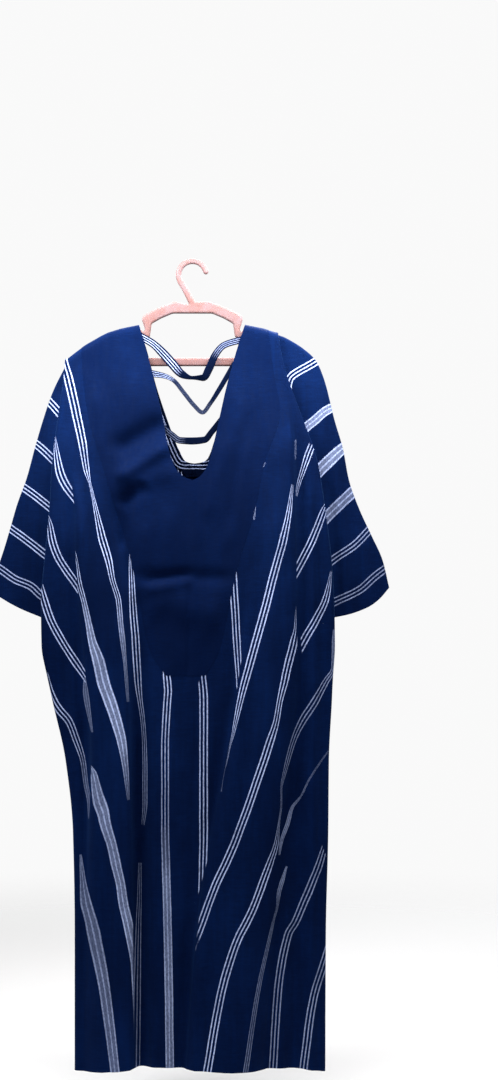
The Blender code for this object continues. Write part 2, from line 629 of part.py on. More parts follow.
def hook_outline():
    """Both sides of the hook, from its foot on the left round the tip and back to its foot on the right."""
    centre_z = -HOOK_INNER_RADIUS
    radius = HOOK_INNER_RADIUS + HOOK_HALF_WIDTH
    bend, end = (math.radians(degrees) for degrees in HOOK_ARC_DEGREES)
    arc = [(radius * math.cos(a), centre_z + radius * math.sin(a)) for a in np.linspace(bend, end, HOOK_STEPS)]
    line = np.array([HOOK_FOOT, *HOOK_STEM, *arc])
    heading = np.gradient(line, axis=0)
    heading /= np.linalg.norm(heading, axis=1, keepdims=True)
    normal = np.stack([-heading[:, 1], heading[:, 0]], axis=-1)
    half = np.interp(np.arange(len(line)), [0, 4, len(line) - 1], [STEM_HALF_WIDTH, HOOK_HALF_WIDTH, HOOK_HALF_WIDTH])
    left, right = line + normal * half[:, None], line - normal * half[:, None]
    tip_angle = math.atan2(heading[-1][1], heading[-1][0])
    tip = [line[-1] + HOOK_HALF_WIDTH * np.array([math.cos(a), math.sin(a)])
           for a in np.linspace(tip_angle + math.pi / 2, tip_angle - math.pi / 2, HOOK_TIP_STEPS)[1:-1]]
    return [tuple(p) for p in left] + [tuple(p) for p in tip] + [tuple(p) for p in right[::-1]]


def arm_top(x):
    """Height of the hanger's arm at this distance from its middle: just under the robe's shoulder."""
    wall_of_sleeve = SLEEVE_ON_ARM["height"] * float(smooth((x - SLEEVE_ON_ARM["start"]) / SLEEVE_ON_ARM["run"]))
    wall_of_band = BAND_ON_ARM["height"] * float(smooth((BAND_ON_ARM["end"] - x) / BAND_ON_ARM["run"]))
    return float(shoulder_z(x)) - CLOTH_WALL - ARM_PLAY - wall_of_sleeve - wall_of_band


def frame_outline():
    """The hanger's outer outline from the hook's foot on the right, clockwise to the hook's foot on the left."""
    right = [(29, -63), (58, -74), (82, -86), (84.5, -93), (79, -110), (82, -114), (86, -109)]
    right += [(x, arm_top(x)) for x in (94, 106, 118, 128, 136, 146, 158, 170, 181)]
    right += [(189, arm_top(181) - 8), (191, arm_top(181) - 15), (187, -169), (180, -171)]
    left = [(-x, z) for x, z in reversed(right)]
    return right + left


def window_outline():
    """The opening between the hanger's arms and its bar."""
    right = [(33, -83), (52, -91), (68, -100), (71, -122), (84, -128), (100, -122), (130, -130), (156, -143),
             (168, -151), (164, -157)]
    left = [(-x, z) for x, z in reversed(right)]
    return right + left


def build_hanger(finish, collection):
    """One flat plastic moulding with rounded edges: hook, arms with strap notches, and the bar below."""
    flat = bpy.data.curves.new("hanger", "CURVE")
    flat.dimensions = "2D"
    flat.fill_mode = "BOTH"
    flat.extrude = (HANGER_THICKNESS / 2 - HANGER_EDGE_RADIUS) * MM
    flat.bevel_depth = HANGER_EDGE_RADIUS * MM
    flat.bevel_resolution = HANGER_EDGE_STEPS
    flat.offset = -HANGER_EDGE_RADIUS * MM
    for outline in (hook_outline() + frame_outline(), window_outline()):
        spline = flat.splines.new("POLY")
        spline.points.add(len(outline) - 1)
        for point, (x, z) in zip(spline.points, outline):
            point.co = (x * MM, z * MM, 0, 1)
        spline.use_cyclic_u = True
    guide = bpy.data.objects.new("hanger_outline", flat)
    guide.rotation_euler = (math.pi / 2, 0, 0)
    collection.objects.link(guide)
    bpy.context.view_layer.update()
    evaluated = guide.evaluated_get(bpy.context.evaluated_depsgraph_get())
    mesh = bpy.data.meshes.new_from_object(evaluated)
    mesh.transform(guide.matrix_world)
    shape = bmesh.new()
    shape.from_mesh(mesh)
    bmesh.ops.remove_doubles(shape, verts=shape.verts, dist=WELD)
    bmesh.ops.recalc_face_normals(shape, faces=shape.faces)
    shape.to_mesh(mesh)
    shape.free()
    bpy.data.objects.remove(guide)
    mesh.materials.clear()
    mesh.materials.append(finish)
    obj = bpy.data.objects.new("hanger", mesh)
    collection.objects.link(obj)
    return obj


def build_panel(name, face, left_columns, right_columns, finish, collection):
    """A whole front or back panel."""
    left = half_grid(face, -1, left_columns, EDGE_TURN_STEPS, RETURN_STEPS)
    right = half_grid(face, 1, right_columns, EDGE_TURN_STEPS, RETURN_STEPS)
    last_row = left[0].shape[1] - 1
    points, faces = panel_mesh(face, left, right, 0, 0, last_row)
    obj = add_wall(add_object(name, points, faces, finish, collection), CLOTH_WALL, -1)
    return obj, left, right


def build_overlay(name, face, left, right, counts, bottom_z, lift, wall, offset, finish, collection):
    """A layer on a panel, made from the panel's own points between its yoke lines, moved off it."""
    first_left = left[0].shape[0] - 1 - counts[0]
    first_right = right[0].shape[0] - 1 - counts[1]
    levels = left[2][-1]
    last_row = int(np.argmin(np.abs(levels - bottom_z)))
    points, faces = panel_mesh(face, left, right, first_left, first_right, last_row, lift)
    return add_wall(add_object(name, points, faces, finish, collection), wall, offset)


def build():
    for obj in list(bpy.data.objects):
        bpy.data.objects.remove(obj)
    robe = bpy.data.collections.new("boubou robe on a hanger")
    bpy.context.scene.collection.children.link(robe)
    indigo = material("striped indigo cotton", *INDIGO)
    plain = material("plain indigo cotton", *YOKE_INDIGO)
    striped = material("striped trim", *STRIPED)
    plastic = material("pink plastic", *PLASTIC)

    front, back = make_face(-1), make_face(1)
    _, left, right = build_panel("front_panel", front, FRONT_LEFT_COLUMNS, FRONT_RIGHT_COLUMNS, indigo, robe)
    build_overlay("front_yoke", front, left, right, (FRONT_LEFT_COLUMNS[-1], FRONT_RIGHT_COLUMNS[-1]),
                  YOKE_BOTTOM_Z, LAYER_GAP, YOKE_WALL, 1, plain, robe)
    _, left, right = build_panel("back_panel", back, BACK_COLUMNS, BACK_COLUMNS, indigo, robe)
    build_overlay("back_neck_band", back, left, right, (BACK_COLUMNS[-1], BACK_COLUMNS[-1]),
                  BAND_BOTTOM_Z, -CLOTH_WALL - LAYER_GAP, BAND_WALL, -1, striped, robe)
    build_sleeve("left_sleeve", LEFT_SLEEVE, indigo, robe)
    build_sleeve("right_sleeve", RIGHT_SLEEVE, indigo, robe)
    build_strap("upper_strap", UPPER_STRAP, front, striped, robe)
    build_strap("middle_strap", MIDDLE_STRAP, front, striped, robe)
    build_strap("lower_strap", LOWER_STRAP, front, striped, robe)
    build_hanger(plastic, robe)


build()
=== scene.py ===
"""The boubou robe on its hanger, dressed: striped strip-woven cotton, plain yoke, neck straps, pink plastic.

The cloth pieces repeat the solids' surfaces on a finer grid, as thin shells with the smaller creases added.
Tables are in millimetres, in the robe's own frame.
"""

import math

import bmesh
import bpy
import numpy as np
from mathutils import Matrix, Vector


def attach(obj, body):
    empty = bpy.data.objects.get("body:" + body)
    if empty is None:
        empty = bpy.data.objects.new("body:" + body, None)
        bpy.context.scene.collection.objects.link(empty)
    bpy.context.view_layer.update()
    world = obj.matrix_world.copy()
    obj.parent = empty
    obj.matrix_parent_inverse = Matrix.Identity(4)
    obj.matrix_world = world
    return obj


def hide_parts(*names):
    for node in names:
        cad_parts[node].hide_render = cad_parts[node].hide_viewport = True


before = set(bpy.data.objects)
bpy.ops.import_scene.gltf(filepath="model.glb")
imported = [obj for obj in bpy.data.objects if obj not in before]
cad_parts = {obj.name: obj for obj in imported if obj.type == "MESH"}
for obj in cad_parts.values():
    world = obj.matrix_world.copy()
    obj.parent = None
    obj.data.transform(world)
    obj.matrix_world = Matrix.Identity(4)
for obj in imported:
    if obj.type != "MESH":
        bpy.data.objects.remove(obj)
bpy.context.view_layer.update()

MM = 0.001
PHOTO_MM = 1.66
PHOTO_ORIGIN = (192.0, 262.0)

CLOTH_WALL = 1.5
BAND_WALL = 1.2
SEAM_GAP = 0.6
LAYER_GAP = 0.4
SHOULDER_RADIUS = 11.0
SHOULDER_END_DROP = 5.0
VALLEY_RADIUS = 24.0
HEM_Z = -1330.0
HEM_DROOP = 7.0
HEM_WAVE = 3.0
HEM_WAVE_LENGTH = 210.0
HEM_SETTLE = 230.0
HEM_SIDE = 200.0
ARMHOLE_END_Z = -420.0
SLEEVE_FOLD_RADIUS = 4.0
SLEEVE_CLEARANCE = 0.8
SLEEVE_CUFF_DEPTH = 15.0
HANGER_THICKNESS = 9.0
HANGER_EDGE_RADIUS = 3.6
HOOK_INNER_RADIUS = 18.6
HOOK_HALF_WIDTH = 4.5
STEM_HALF_WIDTH = 5.6
HOOK_FOOT = (0.0, -66.0)
HOOK_STEM = ((-6.0, -54.0), (-13.0, -41.0))
HOOK_ARC_DEGREES = (207, 14)
HOOK_THINS_AT = 4

# Where the folds of the cloth begin: below the shoulder, and this far from the side folds
FOLDS_START_Z = -150.0
FOLDS_GROWN = 90.0
FOLDS_FROM_SIDES = 22.0
RIDGE_FADE = 0.15
LEDGE_HOLLOW = 0.35
LEDGE_HOLLOW_PLACE = 0.8
LEDGE_HOLLOW_WIDTH = 0.9
ARMHOLE_CLOSING = (12.0, 55.0)
SHORTEST_RETURN = 1.5
SHARPEST_TURN = 0.98
SLEEVE_SWELL = 60.0
SLEEVE_OPENING = 1.1
ARM_ROUND_END = (0.2, 0.3)
TIP_Z = -115.0

# What lies between the hanger's arm and the shoulder's cloth: the height it needs, where it starts or ends
ARM_PLAY = 0.9
SLEEVE_ON_ARM = dict(height=4.4, start=125.0, run=9.0)
BAND_ON_ARM = dict(height=2.2, end=122.0, run=8.0)

# The small unevenness of hung cloth: waves in all directions, each bent a little
CRUMPLE_WAVES = 9
CRUMPLE_LENGTHS = (34, 110)
CRUMPLE_BEND = 6
CRUMPLE_BEND_LENGTH = 1.7
CRUMPLE_STRETCH = 0.45
CRUMPLE_HEIGHT = 0.28
FRONT_SEED, BACK_SEED, SLEEVE_SEED = 11, 23, 31

# Where the long folds of the front run, left to right, at each height
FRONT_SECTIONS = dict(
    z=(-100, -149, -188, -249, -334, -417, -490, -563, -636, -686, -704, -727, -827, -943, -1112, -1330),
    left_edge=(-212, -212, -214, -222, -232, -237, -244, -250, -249, -240, -236, -231, -209, -197, -194,
               -194),
    left_ledge=(-202, -202, -202, -203, -202, -193, -191, -186, -179, -174, -173, -171, -165, -169, -172,
                -174),
    left_valley=(-194, -192, -190, -183, -161, -136, -116, -106, -103, -101, -101, -101, -100, -98, -96,
                 -94),
    yoke_left=(-188, -184, -181, -173, -148, -123, -101, -86, -71, -40, -18, -22, -45, -50, -56, -66),
    centre=(2, 2, 2, 2, 2, -1, -4, -6, -8, -9.5, -10, -10, -10, -15, -28, -40),
    yoke_right=(126, 131, 136, 146, 120, 103, 80, 63, 48, 21, -2, 4, 26, 16, -6, -22),
    right_ledge=(131, 137, 143, 156, 134, 117, 100, 93, 85, 79, 77, 74, 57, 35, 9, -7),
    right_groove=(136, 142, 150, 167, 170, 171, 173, 173, 174, 173, 172, 171, 158, 146, 133, 116),
    right_edge=(141, 148, 158, 180, 209, 222, 231, 236, 237, 234, 233, 232, 227, 226, 222, 221),
)

BACK_SECTIONS = dict(
    z=(-100, -149, -188, -249, -300, -334, -352, -417, -490, -563, -636, -727, -827, -943, -1112, -1330),
    left_edge=(-212, -211, -211, -215, -220, -224, -226, -229, -235, -240, -238, -221, -200, -189, -186,
               -186),
    left_ledge=(-170, -168, -166, -162, -160, -158, -157, -154, -150, -146, -142, -138, -132, -128, -124,
                -122),
    yoke_left=(-109, -94, -84, -68, -49, -30, -14, -20, -30, -38, -44, -50, -54, -56, -58, -60),
    centre=(2, 2, 2, 2, 2, 2, 2, 2, 2, 2, 2, 2, 2, 2, 2, 2),
    yoke_right=(106, 92, 83, 70, 50, 34, 18, 24, 34, 42, 48, 54, 58, 60, 62, 64),
    right_ledge=(124, 124, 126, 128, 130, 132, 133, 136, 140, 144, 146, 146, 144, 142, 138, 134),
    right_edge=(141, 146, 154, 174, 190, 201, 206, 214, 223, 228, 229, 223, 219, 217, 214, 213),
)

# The edges of the neck opening, from the shoulders to the point where they meet
FRONT_NECK = dict(
    z=(-102, -146, -204, -262, -290, -315, -340, -356, -363),
    left=(-89, -76, -61, -48, -43, -37, -28, -15, 2),
    right=(88, 74, 58, 45, 39, 33, 25, 14, 2),
)
BACK_NECK = dict(
    z=(-102, -146, -204, -262, -284, -300, -315, -323, -328, -331, -332),
    left=(-89, -76, -61, -42, -34, -28, -21, -17, -13, -6, 2),
    right=(88, 74, 58, 45, 39, 34, 29, 25, 20, 11, 2),
)
NECK_CROWDING = 1.7

# The shoulder line, the same on both sides of the hanger, then the tip of the left shoulder
SHOULDER = dict(x=(60, 88, 118, 141, 153, 179, 190, 212), z=(-98, -102, -108, -115, -121, -136, -144, -161))

# The side edges, sewn to the sleeves down to the armhole's end and to each other below it
SIDE_SEAMS = dict(
    z=(-100, -161, -249, -334, -420, -563, -727, -827, -943, -1330),
    left=(-210, -210, -200, -182, -154, -150, -138, -126, -120, -118),
    right=(139, 144, 152, 158, 152, 152, 150, 147, 144, 140),
)

# How far the cloth stands off the middle plane, and the radius of the folds at its sides
DEPTHS = dict(
    z=(-100, -125, -161, -200, -249, -334, -420, -563, -727, -943, -1330),
    middle=(11, 12, 16, 23, 31, 41, 47, 52, 54, 57, 61),
    left_edge=(14, 14, 14, 18, 25, 34, 38, 40, 40, 40, 41),
    right_edge=(18.5, 18.5, 20, 23, 27, 35, 39, 41, 41, 41, 42),
    left_radius=(4.2, 4.2, 4.2, 4.8, 5.8, 7.0, 7.5, 7.5, 7.5, 7.5, 7.5),
    right_radius=(4.4, 4.4, 4.6, 5.2, 6.0, 7.0, 7.5, 7.5, 7.5, 7.5, 7.5),
)

# Laps of one layer of cloth over the next, each with its line, the side that stands nearer (-1 left, +1 right),
# the step's height and width, how far it takes to settle, and the z where it starts, is full, fades and ends
FRONT_LEDGES = (
    ("left_ledge", 1, 10, 13, 60, -330, -430, -900, -1080),
    ("left_valley", -1, 15, 15, 50, -400, -600, -1330, -1400),
    ("right_ledge", 1, 13, 14, 75, -480, -760, -1330, -1400),
    ("right_groove", -1, 11, 13, 60, -190, -330, -1330, -1400),
)
BACK_LEDGES = (
    ("left_ledge", -1, 11, 16, 70, -420, -620, -1330, -1400),
    ("right_ledge", 1, 12, 16, 70, -380, -560, -1330, -1400),
)

# Long soft ridges, or valleys where the height is negative: x and z of the top and of the bottom, height, width
FRONT_RIDGES = (
    (-122, -395, -112, -600, -7, 15),
    (-88, -640, -84, -1330, -8, 15),
    (-158, -300, -140, -1330, 7, 24),
    (150, -300, 128, -900, 5, 26),
    (198, -300, 204, -900, 7, 15),
    (178, -760, 170, -1330, -7, 15),
    (202, -860, 198, -1330, 6, 16),
    (88, -840, 66, -1330, 5, 22),
    (-40, -760, -44, -1330, 5, 18),
    (-214, -420, -188, -860, 4, 12),
    (-34, -262, -118, -318, -7, 22),
    (-28, -345, -112, -372, 5, 20),
    (-92, -520, 66, -524, -4, 12),
    (-58, -560, 44, -588, 4, 26),
)
BACK_RIDGES = (
    (-100, -380, -92, -1330, 6, 24),
    (-28, -420, -22, -1330, -5, 22),
    (40, -400, 34, -1330, 6, 24),
    (96, -460, 92, -1330, -6, 20),
    (-186, -480, -160, -1330, 5, 18),
    (182, -470, 178, -1330, 6, 18),
)

# The sleeves in front view: top is the fold along the arm, cuff the open end, both from the outside in
LEFT_SLEEVE = dict(
    side=-1,
    arm_radius=4.0,
    top=((-210, -167), (-233, -213), (-250, -262), (-264, -310), (-277, -358), (-293, -402), (-304, -440),
         (-316, -480), (-330, -520), (-339, -545)),
    cuff=((-339, -545), (-319, -558), (-286, -576), (-249, -591), (-219, -603), (-188, -612)),
)
RIGHT_SLEEVE = dict(
    side=1,
    arm_radius=7.4,
    top=((139, -118), (146, -119.5), (153, -122), (166, -129), (182, -139), (206, -161), (220, -192),
         (238, -262),
         (252, -310), (262, -362), (280, -412), (300, -455), (318, -495), (329, -541)),
    cuff=((329, -541), (312, -560), (292, -574), (262, -585), (228, -592), (186, -600)),
)
CUFF_FLUTES = 2
CUFF_FLUTE_HEIGHT = 3.0
FAR_CREASES = 0.6

# Straps across the neck: how far they hang back, the middle line in front view and the width there. turns are
# where a strap rolls over, how long the roll is and how far it goes; lit is how bright its lines are at shares of
# its length, painted light and shade: bright where the strap is lit, dark where it lies in shade; and lines_apart
# their pitch as a share of its width.
UPPER_STRAP = dict(
    slack=1.0,
    x=(-91, -66, -50, -33, -17, 0, 18, 28, 38, 53, 90),
    z=(-120, -134, -149, -168, -185, -191, -191, -176, -154, -137, -126),
    width=(13, 13, 15, 16, 13, 6, 11, 13, 12, 11, 12),
    turns=((0.52, 0.12, 0.5),),
    lit=((0, 0.8), (0.36, 0.9), (0.41, 0), (0.72, 0), (0.78, 0.45), (1, 0.45)),
    lines_apart=0.27,
)
MIDDLE_STRAP = dict(
    slack=6.0,
    x=(-73, -48, -32, -14, 3, 17, 30, 43, 71),
    z=(-184, -188, -195, -216, -237, -249, -234, -214, -167),
    width=(13, 9, 7, 7, 7, 7, 7, 8, 9),
    turns=(),
    lit=((0, 0.7), (0.16, 0.7), (0.22, 0.04), (0.3, 0.14), (0.6, 0.12), (0.66, 0), (1, 0)),
    lines_apart=0.30,
)
LOWER_STRAP = dict(
    slack=4.0,
    x=(-54, -34, -20, 0, 21, 32, 53),
    z=(-270, -287, -296, -297, -295, -283, -257),
    width=(11, 11, 11, 12, 11, 10, 10),
    turns=(),
    lit=((0, 0.3), (0.3, 0.3), (0.4, 0), (1, 0)),
    lines_apart=0.30,
)
STRAP_WALL = 1.5
STRAP_EDGE_ROUNDING = 6
STRAP_THINNEST = 0.35
STRAP_EDGE_DROP = 0.15


def along(table, name, z):
    """The named column of a table at these heights, on a smooth curve through its rows."""
    rows = np.asarray(table["z"], float)
    values = np.asarray(table[name], float)
    if rows[0] > rows[-1]:
        rows, values = rows[::-1], values[::-1]
    steps = np.diff(rows)
    slopes = np.diff(values) / steps
    tangents = np.concatenate([[slopes[0]], np.zeros(len(slopes) - 1), [slopes[-1]]])
    same_way = slopes[:-1] * slopes[1:] > 0
    tangents[1:-1][same_way] = 2 * slopes[:-1][same_way] * slopes[1:][same_way] / (
        slopes[:-1][same_way] + slopes[1:][same_way])
    z = np.clip(np.asarray(z, float), rows[0], rows[-1])
    i = np.clip(np.searchsorted(rows, z, side="right") - 1, 0, len(steps) - 1)
    t = (z - rows[i]) / steps[i]
    return (values[i] * (1 + 2 * t) * (1 - t) ** 2 + steps[i] * tangents[i] * t * (1 - t) ** 2
            + values[i + 1] * t ** 2 * (3 - 2 * t) + steps[i] * tangents[i + 1] * t ** 2 * (t - 1))


def smooth(t):
    """0 below 0, 1 above 1, and an even rise between."""
    t = np.clip(t, 0, 1)
    return t * t * (3 - 2 * t)


def quarter_round(t):
    """The height of a quarter circle, 0 at t = 0 and 1 from t = 1 on."""
    return np.sqrt(np.clip(1 - (1 - np.clip(t, 0, 1)) ** 2, 0, 1))


def shoulder_z(x):
    """Height of the shoulder line over this x."""
    return np.interp(np.abs(x), SHOULDER["x"], SHOULDER["z"])


def ridge_height(x, z, x0, z0, x1, z1, height, width):
    """A soft ridge along the line from (x0, z0) to (x1, z1), fading at both ends."""
    run, fall = x1 - x0, z1 - z0
    length = math.hypot(run, fall)
    t = ((x - x0) * run + (z - z0) * fall) / length ** 2
    across = ((x - x0) * fall - (z - z0) * run) / length
    fade_in = smooth((t + RIDGE_FADE) / (2 * RIDGE_FADE))
    to_hem = z1 <= HEM_Z
    fade_out = 1.0 if to_hem else smooth((1 + RIDGE_FADE - t) / (2 * RIDGE_FADE))
    return height * np.exp(-((across / width) ** 2)) * fade_in * fade_out


def ledge_height(x, z, sections, line, proud, height, step, reach, start, full, fade, end):
    """A lap of cloth: a steep rise across its line, then a slow fall on the proud side."""
    across = (x - along(sections, line, z)) * proud
    grown = smooth((start - z) / (start - full)) * (1 - smooth((fade - z) / (fade - end)))
    rise = smooth(across / step + 0.5)
    settle = np.exp(-np.clip(across - step / 2, 0, None) / reach)
    from_hollow = (across + step * LEDGE_HOLLOW_PLACE) / (step * LEDGE_HOLLOW_WIDTH)
    hollow = -LEDGE_HOLLOW * np.exp(-from_hollow ** 2)
    return height * grown * (rise * settle + hollow)


def stand_off(face, x, z):
    """How far a panel's main layer stands off the middle plane at (x, z)."""
    sections = face["sections"]
    left = along(sections, "left_edge", z) + along(DEPTHS, "left_radius", z)
    right = along(sections, "right_edge", z) - along(DEPTHS, "right_radius", z)
    share = np.clip((x - left) / (right - left), 0, 1)
    edge = along(DEPTHS, "left_edge", z) * (1 - share) + along(DEPTHS, "right_edge", z) * share
    middle = along(DEPTHS, "middle", z)
    base = edge + (middle - edge) * 4 * share * (1 - share)
    folds = sum(ledge_height(x, z, sections, *ledge) for ledge in face["ledges"])
    folds = folds + sum(ridge_height(x, z, *ridge) for ridge in face["ridges"]) + crumple(x, z, face["seed"])
    clear_of_sides = smooth((x - left) / FOLDS_FROM_SIDES) * smooth((right - x) / FOLDS_FROM_SIDES)
    clear_of_hanger = smooth((FOLDS_START_Z - z) / FOLDS_GROWN)
    return base + folds * clear_of_sides * clear_of_hanger


def hem_drop(x, z):
    """The hem sags a little to the sides and waves with the folds."""
    near_hem = np.clip((HEM_Z + HEM_SETTLE - z) / HEM_SETTLE, 0, 1) ** 2
    wave = HEM_WAVE * np.sin(2 * math.pi * x / HEM_WAVE_LENGTH)
    return -near_hem * (HEM_DROOP * (x / HEM_SIDE) ** 2 + wave)


def side_return(face, side, z, turn_steps, return_steps):
    """Columns from the sewn side edge round the side fold to the main layer: lists of x and stand-off.

    return_steps are distances from the sewn edge."""
    name = "left" if side < 0 else "right"
    fold = along(face["sections"], name + "_edge", z)
    radius = along(DEPTHS, name + "_radius", z)
    depth = along(DEPTHS, name + "_edge", z)
    seam = along(SIDE_SEAMS, name, z)
    inset = np.abs(fold - seam)
    short = np.clip((radius - inset) / radius, 0, SHARPEST_TURN)
    turn = math.pi - np.arcsin(short)
    straight = np.maximum(inset - radius, SHORTEST_RETURN)
    start = fold - side * radius
    end_x = start + side * radius * np.sin(turn)
    end_depth = depth - radius * (1 - np.cos(turn))
    closing = smooth((ARMHOLE_END_Z + ARMHOLE_CLOSING[0] - z) / ARMHOLE_CLOSING[1])
    columns = []
    for i, distance in enumerate(return_steps):
        from_seam = np.minimum(distance, straight * i / len(return_steps))
        reach = straight - from_seam
        x = end_x + side * reach * np.cos(turn)
        y = end_depth - reach * np.sin(turn)
        y = y + (SEAM_GAP / 2 - y) * (1 - quarter_round(from_seam / VALLEY_RADIUS)) * closing
        columns.append((x, y))
    for k in range(turn_steps, 0, -1):
        angle = turn * k / turn_steps
        columns.append((start + side * radius * np.sin(angle), depth - radius * (1 - np.cos(angle))))
    return columns


def column_stops(face, side, counts):
    """Columns of the main layer from the side fold to the neck or centre, as (line, next line, share)."""
    lines = face["left_lines"] if side < 0 else face["right_lines"]
    stops = []
    for i, count in enumerate(counts):
        for k in range(count):
            stops.append((lines[i], lines[i + 1], k / count))
    stops.append((lines[-2], lines[-1], 1.0))
    return stops


def line_x(face, side, name, z):
    """x of a named line of the panel at these heights."""
    sections, neck = face["sections"], face["neck"]
    if name == "start":
        word = "left" if side < 0 else "right"
        return along(sections, word + "_edge", z) - side * along(DEPTHS, word + "_radius", z)
    if name == "middle":
        edge = along(neck, "left" if side < 0 else "right", z)
        return np.where(z > neck["z"][-1], edge, along(sections, "centre", z))
    return along(sections, name, z)


def half_grid(face, side, counts, turn_steps, return_steps):
    """x, stand-off and z of one half panel: arrays of columns by rows, from the side edge to the middle."""
    stops = column_stops(face, side, counts)
    neck_end = face["neck"]["z"][-1]
    drops = np.array(face["drops"])
    lower = np.array(face["levels"], float)
    tip_x = along(face["sections"], "left_edge" if side < 0 else "right_edge", TIP_Z)
    neck_x = along(face["neck"], "left" if side < 0 else "right", face["neck"]["z"][0])
    columns = []
    for name, following, share in stops:
        order = stops.index((name, following, share)) / (len(stops) - 1)
        top_x = tip_x + (neck_x - tip_x) * order
        for _ in range(SHOULDER_SOLVING_STEPS):
            top_z = shoulder_z(top_x)
            top_x = (line_x(face, side, name, top_z) * (1 - share)
                     + line_x(face, side, following, top_z) * share)
        top_z = float(shoulder_z(top_x))
        mid = top_z - drops[-1]
        outer = np.linspace(mid, lower[0], face["neck_rows"] + face["below_rows"] + 1)[1:]
        inner = np.concatenate([mid + (neck_end - mid) * neck_spacing(face["neck_rows"]),
                                np.linspace(neck_end, lower[0], face["below_rows"] + 1)[1:]])
        z = np.concatenate([top_z - drops, outer * (1 - order) + inner * order, lower[1:]])
        x = line_x(face, side, name, z) * (1 - share) + line_x(face, side, following, z) * share
        x[0] = top_x
        depth = stand_off(face, x, z)
        columns.append((x, depth, z, top_z))
    edge_z, edge_top = columns[0][2], columns[0][3]
    end_of_roll = drops[-1]
    rows_in_roll = len(drops)
    outer_columns = side_return(face, side, edge_z, turn_steps, return_steps)
    turned = []
    for i in range(len(outer_columns)):
        fan = SHOULDER_END_DROP * smooth((len(outer_columns) - i) / turn_steps)
        z = edge_z.copy()
        z[:rows_in_roll] = edge_top - fan - drops * (end_of_roll - fan) / end_of_roll
        x, y = side_return(face, side, z, turn_steps, return_steps)[i]
        turned.append((x, y, z, edge_top))
    columns = turned + columns
    x, y, z, top = (np.array([np.broadcast_to(c[i], edge_z.shape) for c in columns]) for i in range(4))
    rounding = quarter_round((top - z) / SHOULDER_RADIUS)
    y = SEAM_GAP / 2 + (y - SEAM_GAP / 2) * rounding
    return x, y, z + hem_drop(x, z)


def neck_spacing(rows):
    """Where the rows between the shoulder and the neck's end lie, closer together towards the end."""
    return 1 - (1 - np.linspace(0, 1, rows + 1)[1:]) ** NECK_CROWDING


def lifted_normals(x, y, z, half):
    """Unit normals of a grid of columns by rows, pointing away from the robe's inside."""
    spots = np.stack([x, y, z], axis=-1)
    across = np.gradient(spots, axis=0)
    down = np.gradient(spots, axis=1)
    normals = np.cross(down, across)
    normals /= np.maximum(np.linalg.norm(normals, axis=-1, keepdims=True), 1e-9)
    outward = (1 if half == 0 else -1) * (1 if y.mean() < 0 else -1)
    return normals * outward


def edge_line(face, side, z):
    """x and stand-off of a panel's sewn side edge."""
    return side_return(face, side, z, 1, (0.0,))[0]


def bezier_through(points, shares):
    """Points at these shares of the length of a smooth curve through the given ones."""
    points = np.asarray(points, float)
    chords = np.linalg.norm(np.diff(points, axis=0), axis=1)
    distance = np.concatenate([[0], np.cumsum(chords)])
    table = dict(z=distance, x=points[:, 0], y=points[:, 1])
    wanted = np.asarray(shares) * distance[-1]
    return np.stack([along(table, "x", wanted), along(table, "y", wanted)], axis=-1)


def sleeve_grid(sleeve, lengthwise, around):
    """Points of a sleeve as rows along the arm by columns round it, starting and ending at the top fold.

    around lists the shares from the top fold down to the underarm fold."""
    side = sleeve["side"]
    front = fine_face(-1)
    shares = np.asarray(lengthwise)
    top = bezier_through(sleeve["top"], shares)
    cuff_points = np.asarray(sleeve["cuff"], float)
    start_z, end_z = sleeve["top"][0][1], ARMHOLE_END_Z
    under_start = np.array([float(along(SIDE_SEAMS, "left" if side < 0 else "right", end_z)), end_z])
    under = under_start + (cuff_points[-1] - under_start) * shares[:, None]
    grid = []
    for i, p in enumerate(shares):
        length = np.linalg.norm(under[i] - top[i])
        over_arm = SLEEVE_FOLD_RADIUS + (sleeve["arm_radius"] - SLEEVE_FOLD_RADIUS) * (
            1 - smooth((p - ARM_ROUND_END[0]) / ARM_ROUND_END[1]))
        tip = over_arm / length
        near_tip = tip * np.asarray(SLEEVE_TIP)
        steps = np.concatenate([near_tip, tip + (1 - 2 * tip) * np.asarray(around), 1 - near_tip[::-1]])
        arm_z = start_z + (end_z - start_z) * steps
        arm_x, arm_depth = edge_line(front, side, arm_z)
        arm = np.stack([arm_x, arm_z], axis=-1)
        cuff = bezier_through(cuff_points, steps)
        ruled_ends = arm * (1 - p) + cuff * p
        ruled_sides = top[i] * (1 - steps[:, None]) + under[i] * steps[:, None]
        corners = ((arm[0] * (1 - p) + cuff[0] * p) * (1 - steps[:, None])
                   + (arm[-1] * (1 - p) + cuff[-1] * p) * steps[:, None])
        flat = ruled_ends + ruled_sides - corners
        inside = np.minimum(steps, 1 - steps) * length
        radius = np.where(steps < 0.5, over_arm, SLEEVE_FOLD_RADIUS)
        tip_part = radius * quarter_round(inside / radius)
        armhole = np.maximum(arm_depth - SLEEVE_CLEARANCE, radius)
        opened = smooth(p * SLEEVE_OPENING)
        room = armhole * (1 - opened) + SLEEVE_CUFF_DEPTH * opened - radius
        swell = smooth(inside / SLEEVE_SWELL)
        flutes = CUFF_FLUTE_HEIGHT * p * swell * np.sin(2 * math.pi * CUFF_FLUTES * steps)
        depth = tip_part + room * swell
        creases = sum(ridge_height(flat[:, 0], flat[:, 1], *crease) for crease in SLEEVE_CREASES[side])
        creases = (creases + crumple(flat[:, 0], flat[:, 1], SLEEVE_SEED)) * swell * opened
        near = np.stack([flat[:, 0], -depth - flutes - creases, flat[:, 1]], axis=-1)
        far = np.stack([flat[:, 0], depth - flutes - creases * FAR_CREASES, flat[:, 1]], axis=-1)
        grid.append(np.concatenate([near, far[-2:0:-1]]))
    return np.array(grid)


